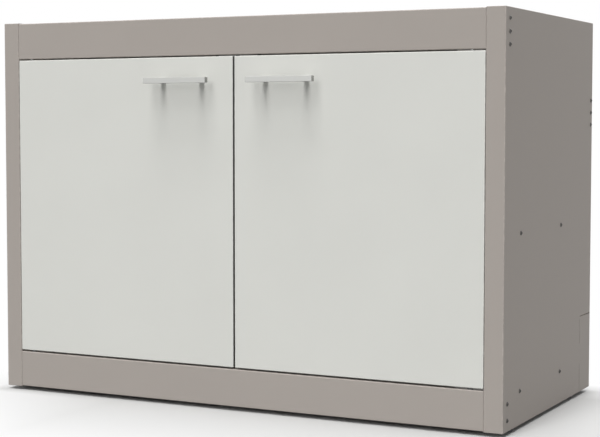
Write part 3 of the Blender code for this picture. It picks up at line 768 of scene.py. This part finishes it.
screw_head_radius = 0.0048
screw_head_height = 0.0022
screw_head_turns = (0, 0.25, 0.5, 0.75, 1.0, 1.15)
screw_radius = 0.003
screw_length = 0.012
screw_tip = 0.0005
screw_neck = 0.0010
screw_thread_end = 0.0014
screw_pitch = 0.001
screw_thread_depth = 0.0005
socket_radius = 0.0023
socket_mouth_share = 1.12
socket_depth = 0.0012
socket_edge = 0.0001
socket_floor_dip = 0.0003
screw_sides = 24
screw_colour = (0.075, 0.071, 0.067)
rubbed_colour = (0.30, 0.29, 0.28)
zinc_blue = (0.55, 0.57, 0.60)
zinc_straw = (0.66, 0.64, 0.57)
zinc_grey = (0.42, 0.43, 0.44)
shelf_nut_radius = 0.0055
shelf_nut_height = 0.005
foot_nut_radius = 0.0075
foot_nut_height = 0.0065
foot_nut_hole = 0.0040
nut_chamfer_share = 0.10
strip_half_width = 0.005
strip_thickness = 0.004
strip_end = 0.006
strip_edge = 0.0003
strip_x = half_width - 2 * carcass_sheet - 2 * clearance
screw_seat_x = half_width + clearance


def hexagon(radius, angle, along):
    """The distance to a hexagon's side, where the radius is that of its corners."""
    return radius * math.cos(math.pi / 6) / math.cos(angle % (math.pi / 3) - math.pi / 6)


def thread_rows(radius, low, high, pitch, depth, rows_per_turn=6):
    """Rows of a screw thread whose crest has the given radius."""
    def thread(crest, angle, along):
        phase = 2 * math.pi * along / pitch - angle
        return crest - depth * (0.5 - 0.5 * math.cos(phase))

    count = max(2, round((high - low) / pitch * rows_per_turn))
    return [(radius, low + (high - low) * n / count, thread) for n in range(count + 1)]


def nut(radius, height, hole):
    """A hexagonal nut with both rims chamfered, standing on its seat."""
    def trimmed(cap, angle, along):
        return min(cap, hexagon(radius, angle, along))

    chamfer = radius * nut_chamfer_share
    bm = bmesh.new()
    rows = ((hole, 0), (radius - chamfer, 0, trimmed), (radius, chamfer / 2, trimmed),
            (radius, height - chamfer / 2, trimmed), (radius - chamfer, height, trimmed), (hole, height))
    turned(bm, (0, 0, 0), (0, 0, 1), rows, screw_sides, closed=True)
    return to_mesh("nut", bm)


def screws_on_points_tree():
    """One screw or nut on each point, its axis along the point's own direction, turned at random."""
    inputs = {"Screw": "Object", "Seed": "Int", "Finish": "Material"}
    tree, start = shape_tree("screws_on_points", inputs)
    pattern = tree.node("GeometryNodeObjectInfo", sockets={"Object": start.other("Screw")},
                        output="Geometry")
    outward = tree.node("GeometryNodeInputNamedAttribute", {"data_type": "FLOAT_VECTOR"},
                        {"Name": "outward"})
    aim = tree.node("FunctionNodeAlignRotationToVector", {"axis": "Z"}, {"Vector": outward})
    turn = tree.node("FunctionNodeRandomValue", {"data_type": "FLOAT"},
                     {3: math.tau, "Seed": start.other("Seed")}, 1)
    spin = tree.node("FunctionNodeAxisAngleToRotation", sockets={"Axis": (0, 0, 1), "Angle": turn})
    posed = tree.node("FunctionNodeRotateRotation", {"rotation_space": "LOCAL"},
                      {"Rotation": aim, "Rotate By": spin})
    placed = tree.node("GeometryNodeInstanceOnPoints",
                       sockets={"Points": start, "Instance": pattern, "Rotation": posed})
    finish_tree(tree, placed, start.other("Finish"))
    return tree


def fasten(name, pattern_mesh, spots, finish, slot, seed, nodes=()):
    """Put a copy of a screw or nut on each spot, a place and an outward direction, as one piece."""
    points = bpy.data.meshes.new(name)
    points.from_pydata([place for place, outward in spots], [], [])
    directions = [c for place, outward in spots for c in outward]
    points.attributes.new("outward", "FLOAT_VECTOR", "POINT").data.foreach_set("vector", directions)
    pattern = hold(f"{name}_pattern", pattern_mesh)
    mesh = grow(name, points, screws_on_points, {"Screw": pattern, "Seed": seed, "Finish": finish})
    bpy.data.objects.remove(pattern)
    piece(name, finished(mesh, finish), "carcass", slot, *nodes)


def eased(mesh, width, finish, steps=2):
    """Break the sharp edges of a mesh and give it one finish."""
    helper = coated(mesh, finish)
    bevel = helper.modifiers.new("edge_break", "BEVEL")
    bevel.width = width
    bevel.segments = steps
    bevel.limit_method = "ANGLE"
    bevel.angle_limit = math.radians(40)
    return levelled(helper)


def black_oxide():
    """Oiled black oxide: nearly black, a little brown, with bright rubs where a key or box has touched."""
    material, paint, shader = new_finish("black_oxide")
    place = paint.node("ShaderNodeTexCoord", output="Object")
    mottle = noise(paint, place, size=0.0016, detail=4.0)
    rub = ramp(paint, noise(paint, place, size=0.0006, detail=3.0), low=0.60, high=0.72)
    body = shade(paint, mottle, scaled(screw_colour, 0.7), scaled(screw_colour, 1.5))
    paint.feed(shader, {"Base Color": shade(paint, rub * 0.5, body, rubbed_colour), "Metallic": 0.75,
                        "Roughness": 0.30 + mottle * 0.22 - rub * 0.08,
                        "Normal": roughen(paint, ((mottle, 0.00001),))})
    return material


def zinc_plate():
    """Clear zinc plate: soft bright grey with cloudy patches and a faint blue and straw tint."""
    material, paint, shader = new_finish("zinc_plate")
    place = paint.node("ShaderNodeTexCoord", output="Object")
    patches = noise(paint, place, size=0.006, detail=3.0)
    fine = noise(paint, place, size=0.0005)
    tint = shade(paint, patches, zinc_blue, zinc_straw)
    paint.feed(shader, {"Base Color": shade(paint, fine * 0.25, tint, zinc_grey), "Metallic": 1.0,
                        "Roughness": 0.30 + patches * 0.16 + fine * 0.06,
                        "Normal": roughen(paint, ((fine, 0.000006),))})
    return material


screws_on_points = screws_on_points_tree()
screw_finish = black_oxide()
zinc_finish = zinc_plate()

neck_radius = screw_radius - screw_tip
socket_floor = screw_head_height - socket_depth
shank = thread_rows(screw_radius, screw_tip - screw_length, -screw_thread_end, screw_pitch,
                    screw_thread_depth)
dome = [(screw_head_radius * math.cos(a), screw_head_height * math.sin(a)) for a in screw_head_turns]
socket = [(socket_radius * socket_mouth_share, screw_head_height),
          (socket_radius, screw_head_height - socket_edge, hexagon), (socket_radius, socket_floor, hexagon),
          (socket_radius * 0.4, socket_floor - socket_floor_dip)]
screw = bmesh.new()
turned(screw, (0, 0, 0), (0, 0, 1),
       [(screw_radius - 2 * screw_tip, -screw_length)] + shank
       + [(neck_radius, -screw_neck), (neck_radius, 0)] + dome + socket, screw_sides)
frame_spots = [((sign * screw_seat_x, y, z), (sign, 0, 0))
               for group in fixings.values() for y, z in group for side, sign in sides]
screw_nodes = [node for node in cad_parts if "_fixing_" in node or "_shelf_screw_" in node]
fasten("frame_screws", to_mesh("screw", screw), frame_spots, screw_finish, "dark_screws", seed=3,
       nodes=screw_nodes)

strips = bmesh.new()
strip_holes = bmesh.new()
for side, sign in sides:
    for group in ("top_rail", "bottom_rail", "rear_rail"):
        heights = [z for y, z in fixings[group]]
        y = fixings[group][0][0]
        block(strips, (sign * strip_x, sign * (strip_x - strip_thickness)),
              (y - strip_half_width, y + strip_half_width),
              (min(heights) - strip_end, max(heights) + strip_end))
        for z in heights:
            bore(strip_holes, (sign * (strip_x - strip_thickness / 2), y, z), (1, 0, 0), screw_radius)
strip_mesh = machine("tapped_strips", to_mesh("tapped_strips", strips), (("DIFFERENCE", strip_holes),))
piece("tapped_strips", eased(strip_mesh, strip_edge, zinc_finish), "carcass", "zinc")

shelf_spots = [((sign * (inner_side - carcass_sheet), y, z), (-sign, 0, 0))
               for group in ("lower_shelf", "middle_shelf") for y, z in fixings[group]
               for side, sign in sides]
shelf_nut = nut(shelf_nut_radius, shelf_nut_height, screw_radius)
fasten("shelf_nuts", shelf_nut, shelf_spots, zinc_finish, "zinc", seed=5)
foot_spots = [((sign * foot_x, y, base + carcass_sheet), (0, 0, 1))
              for y in foot_y.values() for side, sign in sides]
foot_nut = nut(foot_nut_radius, foot_nut_height, foot_nut_hole)
fasten("foot_nuts", foot_nut, foot_spots, zinc_finish, "zinc", seed=7)

# The feet
# Four levelling feet: a black moulded pad that swivels on a zinc plated stem with a hexagon to turn it by.
# The stem screws up through the nut in the bottom of the side.

pad_radius = 0.014
pad_height = 0.005
pad_colour = (0.022, 0.022, 0.024)
pad_hollow = 0.0008
flutes = 20
flute_depth = 0.0004
stem_radius = 0.004
stem_end_radius = 0.0033
stem_end_chamfer = 0.0007
stem_seat = 0.0023
stem_height = 0.034
stem_tip = 0.0008
stem_tip_radius = 0.0029
stem_pitch = 0.00125
stem_thread_depth = 0.0006
collar_radius = 0.0065
collar_edge = 0.0004


def moulded_plastic(name, colour, roughness, spark=0.00002):
    """Moulded plastic with a fine spark-eroded texture and faint scuffs."""
    material, paint, shader = new_finish(name)
    place = paint.node("ShaderNodeTexCoord", output="Object")
    texture = noise(paint, place, size=0.0005, detail=3.0)
    rubs = noise(paint, place, size=0.004, detail=5.0, stretch=(1, 1, 3))
    scuffs = ramp(paint, rubs, low=0.55, high=0.75)
    body = shade(paint, texture, scaled(colour, 0.85), scaled(colour, 1.25))
    scuffed = shade(paint, scuffs * 0.25, body, scaled(colour, 2.2))
    paint.feed(shader, {"Base Color": scuffed, "Roughness": roughness + texture * 0.12 + scuffs * 0.10,
                        "Normal": roughen(paint, ((texture, spark),))})
    return material


def fluted(radius, angle, along):
    """A grip rim: a circle with shallow flutes."""
    return radius - flute_depth * (0.5 + 0.5 * math.cos(flutes * angle))


# From the hollow underneath, out round the fluted rim and in over the top to the seat of the stem.
pad_rows = ((0.006, pad_hollow), (0.011, pad_hollow), (0.0115, 0), (pad_radius - 0.001, 0),
            (pad_radius - 0.0003, 0.0003), (pad_radius, 0.001, fluted), (pad_radius, 0.0036, fluted),
            (pad_radius - 0.0006, 0.0044), (pad_radius - 0.002, 0.0049), (0.009, pad_height),
            (0.0050, pad_height), (0.0044, 0.0047), (0.0043, stem_seat - clearance))
collar_low = pad_height + clearance
collar_high = base - clearance
collar_rows = [(collar_radius - collar_edge, collar_low, hexagon),
               (collar_radius, collar_low + collar_edge, hexagon),
               (collar_radius, collar_high - collar_edge, hexagon),
               (collar_radius - collar_edge, collar_high, hexagon)]
stem_top = base + stem_height
stem_rows = ([(stem_end_radius, stem_seat), (stem_radius, stem_seat + stem_end_chamfer),
              (stem_radius, collar_low)] + collar_rows + [(stem_radius - stem_thread_depth, collar_high)]
             + thread_rows(stem_radius, base, stem_top - stem_tip, stem_pitch, stem_thread_depth)
             + [(stem_tip_radius, stem_top)])
pad_plastic = moulded_plastic("pad_plastic", pad_colour, roughness=0.52)
for end, y in foot_y.items():
    for side, sign in sides:
        foot = f"foot_{end}_{side}"
        spot = (sign * foot_x, y, 0)
        pad = bmesh.new()
        turned(pad, spot, (0, 0, 1), pad_rows, 4 * flutes)
        mesh = finished(to_mesh(f"{foot}_pad", pad), pad_plastic)
        piece(f"{foot}_moulded_pad", mesh, foot, "foot_plastic", f"{foot}_pad")
        stem = bmesh.new()
        turned(stem, spot, (0, 0, 1), stem_rows, screw_sides)
        mesh = finished(to_mesh(f"{foot}_stem", stem), zinc_finish)
        piece(f"{foot}_threaded_stem", mesh, foot, "zinc", f"{foot}_stem")

# The doors
# Each door is an outer pan with an inner pan nested in its back, both powder coated in pale grey, with
# holes for the handle screws and for the bushes that it turns on.

door_colour = (0.682, 0.685, 0.648)
door_roughness = 0.46
door_sheet = 0.0010
door_edge_radius = 0.0016
narrow_gap_x = 0.01
bush_hole_radius = 0.0048
handle_hole_radius = 0.0023
handle_half_pitch = 0.048
handle_x, handle_y, handle_z = middle_of("handle_bar_right")

door_paint = powder_coat("door_paint", door_colour, door_roughness)
for side, sign in sides:
    door = f"door_{side}"
    skin_node = f"door_skin_{side}"
    skin = pan(skin_node, *spans(skin_node), (0, 1, 0), door_sheet, door_edge_radius)
    holes = bmesh.new()
    for z in (door_low.z, door_high.z):
        bore(holes, (sign * hinge_x, hinge_y, z), (0, 0, 1), bush_hole_radius)
    for step in (-1, 1):
        bore(holes, (sign * (handle_x + step * handle_half_pitch), front, handle_z), (0, 1, 0),
             handle_hole_radius)
    skin = machine(skin_node, skin, (("DIFFERENCE", holes),))
    # Mark each door's edge that faces the other across the middle gap, for the painted shade in its paint.
    mark_faces(skin, "narrow_gap", lambda face: (face.normal.x * sign < -square_on
                                                 and face.center.x * sign < narrow_gap_x))
    piece(f"door_outer_pan_{side}", painted(skin, door_paint), door, "door_paint", skin_node)
    liner_node = f"door_liner_{side}"
    liner = pan(liner_node, *spans(liner_node), (0, -1, 0), door_sheet, fold_inner_radius + door_sheet)
    piece(f"door_inner_pan_{side}", painted(liner, door_paint), door, "door_paint", liner_node)

# The door pins
# Zinc plated pins stand in the rails, and the doors turn on them in dark grey nylon bushes. A nylon washer
# under each door carries its weight.

nylon_colour = (0.14, 0.14, 0.142)
pin_radius = 0.003
pin_reach = 0.013
pin_edge = 0.0008
pin_head_radius = 0.0052
pin_head_height = 0.003
bush_radius = 0.0045
bush_length = 0.015
bush_lead = 0.0006
bush_edge = 0.0003
bush_flange_radius = 0.0057
bush_flange_thickness = 0.0010
rim_break = 0.0002
pin_sides = 32

nylon = moulded_plastic("nylon", nylon_colour, roughness=0.38, spark=0.000006)


def quarter(radius, along, edge, rise, steps=4):
    """Rows of a rounded edge that climbs from the side of a turned shape to its end."""
    turns = [math.pi / 2 * n / steps for n in range(steps + 1)]
    return [(radius - edge + edge * math.cos(a), along + rise * math.sin(a)) for a in turns]


def turned_piece(name, centre, axis, rows, finish, body, slot, node, closed=False, sides=pin_sides):
    """Turn, finish and keep a piece that stands for one node."""
    bm = bmesh.new()
    turned(bm, centre, axis, rows, sides, closed)
    piece(name, finished(to_mesh(name, bm), finish), body, slot, node)


pin_hole = pin_radius + clearance
flange_rim = bush_flange_radius - rim_break
flange_end = clearance + bush_flange_thickness
bush_rows = ((pin_hole, -bush_length), (bush_radius - bush_edge, -bush_length),
             (bush_radius, bush_lead - bush_length), (bush_radius, clearance), (flange_rim, clearance),
             (bush_flange_radius, clearance + rim_break), (bush_flange_radius, flange_end - bush_edge),
             (bush_flange_radius - bush_edge, flange_end), (pin_hole + rim_break, flange_end),
             (pin_hole, flange_end - rim_break))
for side, sign in sides:
    door = f"door_{side}"
    for level, z, outward, rail_z in (("upper", door_high.z, 1, top_rail_low),
                                      ("lower", door_low.z, -1, bottom_rail_high)):
        centre = (sign * hinge_x, hinge_y, z)
        turned_piece(f"{level}_nylon_bush_{side}", centre, (0, 0, outward), bush_rows, nylon, door, "nylon",
                     f"{level}_bush_{side}", closed=True)
        head = abs(rail_z - z) + carcass_sheet + clearance
        pin_rows = [(pin_radius - pin_edge, -pin_reach), (pin_radius, pin_edge - pin_reach),
                    (pin_radius, head), (pin_head_radius - rim_break, head),
                    (pin_head_radius, head + rim_break)]
        pin_rows += quarter(pin_head_radius, head + pin_head_height - pin_edge, pin_edge, pin_edge)
        turned_piece(f"{level}_turned_pin_{side}", centre, (0, 0, outward), pin_rows, zinc_finish,
                     "carcass", "zinc", f"{level}_pivot_{side}")
    low, high = spans(f"pivot_washer_{side}")[2]
    washer_rows = ((pin_hole, low), (flange_rim, low), (bush_flange_radius, low + rim_break),
                   (bush_flange_radius, high - rim_break), (flange_rim, high), (pin_hole, high))
    turned_piece(f"thrust_washer_{side}", (sign * hinge_x, hinge_y, 0), (0, 0, 1), washer_rows, nylon,
                 "carcass", "nylon", f"pivot_washer_{side}", closed=True)

# The handles
# A square bar on two turned posts, all in satin stainless steel, brushed along the bar and saw-cut at its
# ends, which are painted darker, partly for the duller cut and partly as painted shade. Each post has a
# spigot let into the bar, and a screw from inside the outer pan holds it down.

bar_half_width = 0.006
bar_half_length = 0.077
bar_edge = 0.0007
post_radius = 0.006
post_edge = 0.0004
spigot_radius = 0.004
post_sides = 48
handle_screw_radius = 0.002
handle_screw_tip_radius = 0.0016
handle_screw_tip = 0.0005
handle_screw_head_radius = 0.004
handle_screw_rim = 0.0008
handle_screw_dome = 0.0014
handle_socket_radius = 0.0016
handle_socket_depth = 0.0012
steel_colour = (0.45, 0.453, 0.437)
brush_shares = (0.86, 1.12)
# How much darker the bar's end faces are painted: partly the duller saw-cut face, partly painted shade on
# the ends.
sawn_end_shade_share = 0.78


def satin_steel(name, stretch):
    """Satin steel: fine brushed lines along the piece, cloudy finger marks, and saw-cut ends painted
    darker, partly for the cut and partly as painted shade.
    """
    material, paint, shader = new_finish(name)
    place = paint.node("ShaderNodeTexCoord", output="Object")
    lines = noise(paint, place, size=0.00025, detail=4.0, stretch=stretch)
    streaks = noise(paint, place, size=0.0012, stretch=stretch)
    marks = ramp(paint, noise(paint, place, size=0.02, detail=3.0), low=0.45, high=0.7)
    brushed = shade(paint, lines * 0.5 + streaks * 0.5, scaled(steel_colour, brush_shares[0]),
                    scaled(steel_colour, brush_shares[1]))
    # Partly painted shade: the marked end faces are darkened, both as a duller saw-cut face and as shade on
    # them.
    sawn_shaded_end = shade(paint, marked(paint, "sawn_shaded_end"), brushed, scaled(steel_colour, sawn_end_shade_share))
    paint.feed(shader, {"Base Color": sawn_shaded_end, "Metallic": 1.0,
                        "Roughness": 0.44 + streaks * 0.10 + marks * 0.06,
                        "Normal": roughen(paint, ((lines, 0.000004),))})
    return material


bar_steel = satin_steel("bar_steel", stretch=(0.02, 1, 1))
post_steel = satin_steel("post_steel", stretch=(1, 0.05, 1))
bar_back = front - handle_y - bar_half_width
shoulder = bar_back - clearance
spigot_end = bar_back + bar_half_width / 2 - clearance
post_rows = ((post_radius - post_edge, clearance), (post_radius, clearance + post_edge),
             (post_radius, shoulder - post_edge), (post_radius - post_edge, shoulder),
             (spigot_radius, shoulder), (spigot_radius, spigot_end - post_edge),
             (spigot_radius - post_edge, spigot_end))
for side, sign in sides:
    door = f"door_{side}"
    x = sign * handle_x
    bar = bmesh.new()
    block(bar, (x - bar_half_length, x + bar_half_length),
          (handle_y - bar_half_width, handle_y + bar_half_width),
          (handle_z - bar_half_width, handle_z + bar_half_width))
    seats = bmesh.new()
    for step in (-1, 1):
        spot = (x + step * handle_half_pitch, handle_y + bar_half_width, handle_z)
        bore(seats, spot, (0, 1, 0), spigot_radius + clearance, bar_half_width)
    mesh = machine("handle_bar", to_mesh("handle_bar", bar), (("DIFFERENCE", seats),))
    mesh = eased(mesh, bar_edge, bar_steel, steps=3)
    # Mark the end faces for their darker paint, part saw-cut and part painted shade.
    mark_faces(mesh, "sawn_shaded_end", lambda face: abs(face.normal.x) > square_on)
    piece(f"handle_square_bar_{side}", mesh, door, "satin_steel", f"handle_bar_{side}")
    for post, step in (("inner", -1), ("outer", 1)):
        spot = (sign * (handle_x + step * handle_half_pitch), front, handle_z)
        turned_piece(f"handle_turned_post_{side}_{post}", spot, (0, -1, 0), post_rows, post_steel, door,
                     "satin_steel", f"handle_post_{side}_{post}", sides=post_sides)
        screw_node = f"handle_screw_{side}_{post}"
        screw_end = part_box(screw_node)[0].y - front
        head = door_sheet + clearance
        crown = head + handle_screw_rim + handle_screw_dome
        screw_rows = [(handle_screw_tip_radius, screw_end),
                      (handle_screw_radius, screw_end + handle_screw_tip), (handle_screw_radius, head),
                      (handle_screw_head_radius - rim_break, head),
                      (handle_screw_head_radius, head + rim_break)]
        screw_rows += quarter(handle_screw_head_radius, head + handle_screw_rim, handle_screw_dome,
                              handle_screw_dome)
        screw_rows += [(handle_socket_radius + socket_edge, crown),
                       (handle_socket_radius, crown - socket_edge, hexagon),
                       (handle_socket_radius, crown - handle_socket_depth, hexagon)]
        turned_piece(f"handle_pan_screw_{side}_{post}", spot, (0, 1, 0), screw_rows, zinc_finish, door,
                     "zinc", screw_node)

# The magnetic catch
# A black moulded body snaps up into the tongue of the top rail with two pegs. It holds two ferrite
# magnets between steel pole plates, and each door has a zinc plated strike that they pull. A rubber
# buffer at the bottom of each door meets the lip of the bottom rail.

catch_colour = (0.030, 0.030, 0.031)
ferrite_colour = (0.050, 0.050, 0.052)
rubber_colour = (0.035, 0.035, 0.035)
catch_height = 0.016
catch_edge = 0.0004
pockets_each_way = 4
pocket_pitch = 0.012
pocket_half_width = 0.0045
pocket_depth = 0.006
pocket_rim = 0.0015
magnet_half_width = 0.018
magnet_half_height = 0.0045
magnet_recess = 0.004
ferrite_inset = 0.001
ferrite_setback = 0.0005
ferrite_edge = 0.0003
pole_thickness = 0.0014
plate_edge = 0.0002
peg_radius = 0.0022
peg_root = 0.003
peg_barb = 0.0005
peg_head_radius = 0.0032
peg_head_height = 0.0025
dimple_radius = 0.0016
dimple_depth = 0.0005
dimple_step = 0.0003
strike_half_pitch = 0.014
buffer_wall_share = 0.3
buffer_edge_share = 0.75

catch_plastic = moulded_plastic("catch_plastic", catch_colour, roughness=0.45)
ferrite = moulded_plastic("ferrite", ferrite_colour, roughness=0.55, spark=0.00001)
rubber = moulded_plastic("rubber", rubber_colour, roughness=0.72, spark=0.00003)
body_top = catch_low.z + catch_height
body_middle = catch_low.z + catch_height / 2
magnet_x = middle_of("catch_magnet_right")[0]
room_x = magnet_half_width + clearance
room_z = magnet_half_height + clearance
body = bmesh.new()
block(body, (catch_low.x, catch_high.x), (catch_low.y, catch_high.y), (catch_low.z, body_top))
pockets = bmesh.new()
for side, sign in sides:
    block(pockets, (sign * magnet_x - room_x, sign * magnet_x + room_x),
          (catch_low.y - overcut, catch_low.y + magnet_recess + clearance),
          (body_middle - room_z, body_middle + room_z))
for n in range(-pockets_each_way, pockets_each_way + 1):
    x = n * pocket_pitch
    block(pockets, (x - pocket_half_width, x + pocket_half_width),
          (catch_high.y - pocket_depth, catch_high.y + overcut),
          (catch_low.z + pocket_rim, body_top - pocket_rim))
shell = machine("catch_body", to_mesh("catch_body", body), (("DIFFERENCE", pockets),))
shell = eased(shell, catch_edge, catch_plastic)
catch = bmesh.new()
catch.from_mesh(shell)
peg_seat = carcass_sheet + 2 * clearance
peg_rows = ((peg_radius, -peg_root), (peg_radius, peg_seat), (peg_head_radius - rim_break, peg_seat),
            (peg_head_radius, peg_seat + rim_break), (peg_head_radius, peg_seat + peg_barb),
            (peg_radius * 0.9, peg_seat + peg_head_height))
for side, sign in sides:
    turned(catch, (sign * catch_peg_x, catch_peg_y, body_top), (0, 0, 1), peg_rows, pin_sides)
shell = finished(to_mesh("catch_body", catch), catch_plastic, crease=math.radians(50))
piece("moulded_catch", shell, "carcass", "catch_plastic", "catch_body")

dimple_rows = ((dimple_radius * 0.6, 0), (dimple_radius, dimple_step),
               (dimple_radius * 1.2, 2 * dimple_depth))
for side, sign in sides:
    x = (sign * magnet_x - magnet_half_width, sign * magnet_x + magnet_half_width)
    y = (catch_low.y, catch_low.y + magnet_recess)
    low, high = body_middle - magnet_half_height, body_middle + magnet_half_height
    magnet = bmesh.new()
    block(magnet, (x[0] + ferrite_inset, x[1] - ferrite_inset), (y[0] + ferrite_setback, y[1]),
          (low + pole_thickness + tiny, high - pole_thickness - tiny))
    magnet = eased(to_mesh("ferrite", magnet), ferrite_edge, ferrite)
    piece(f"ferrite_block_{side}", magnet, "carcass", "magnets", f"catch_magnet_{side}")
    poles = bmesh.new()
    block(poles, x, y, (low, low + pole_thickness))
    block(poles, x, y, (high - pole_thickness, high))
    poles = eased(to_mesh("poles", poles), plate_edge, zinc_finish)
    piece(f"pole_plates_{side}", poles, "carcass", "zinc")
    door = f"door_{side}"
    plate_x, plate_y, plate_z = spans(f"strike_plate_{side}")
    strike = bmesh.new()
    block(strike, plate_x, plate_y, plate_z)
    dimples = bmesh.new()
    for step in (-1, 1):
        spot = (sum(plate_x) / 2 + step * strike_half_pitch, plate_y[1] - dimple_depth,
                sum(plate_z) / 2)
        turned(dimples, spot, (0, 1, 0), dimple_rows, pin_sides)
    strike = machine("strike", to_mesh("strike", strike), (("DIFFERENCE", dimples),))
    strike = eased(strike, plate_edge, zinc_finish)
    piece(f"steel_strike_{side}", strike, door, "zinc", f"strike_plate_{side}")
    buffer_x, buffer_y, buffer_z = spans(f"door_buffer_{side}")
    radius = (buffer_z[1] - buffer_z[0]) / 2
    depth = buffer_y[1] - buffer_y[0]
    dome = quarter(radius, depth * buffer_wall_share, radius * buffer_edge_share,
                   depth * (1 - buffer_wall_share), steps=6)
    turned_piece(f"rubber_buffer_{side}", (sum(buffer_x) / 2, buffer_y[0], sum(buffer_z) / 2), (0, 1, 0),
                 [(radius, 0)] + dome, rubber, door, "rubber", f"door_buffer_{side}")
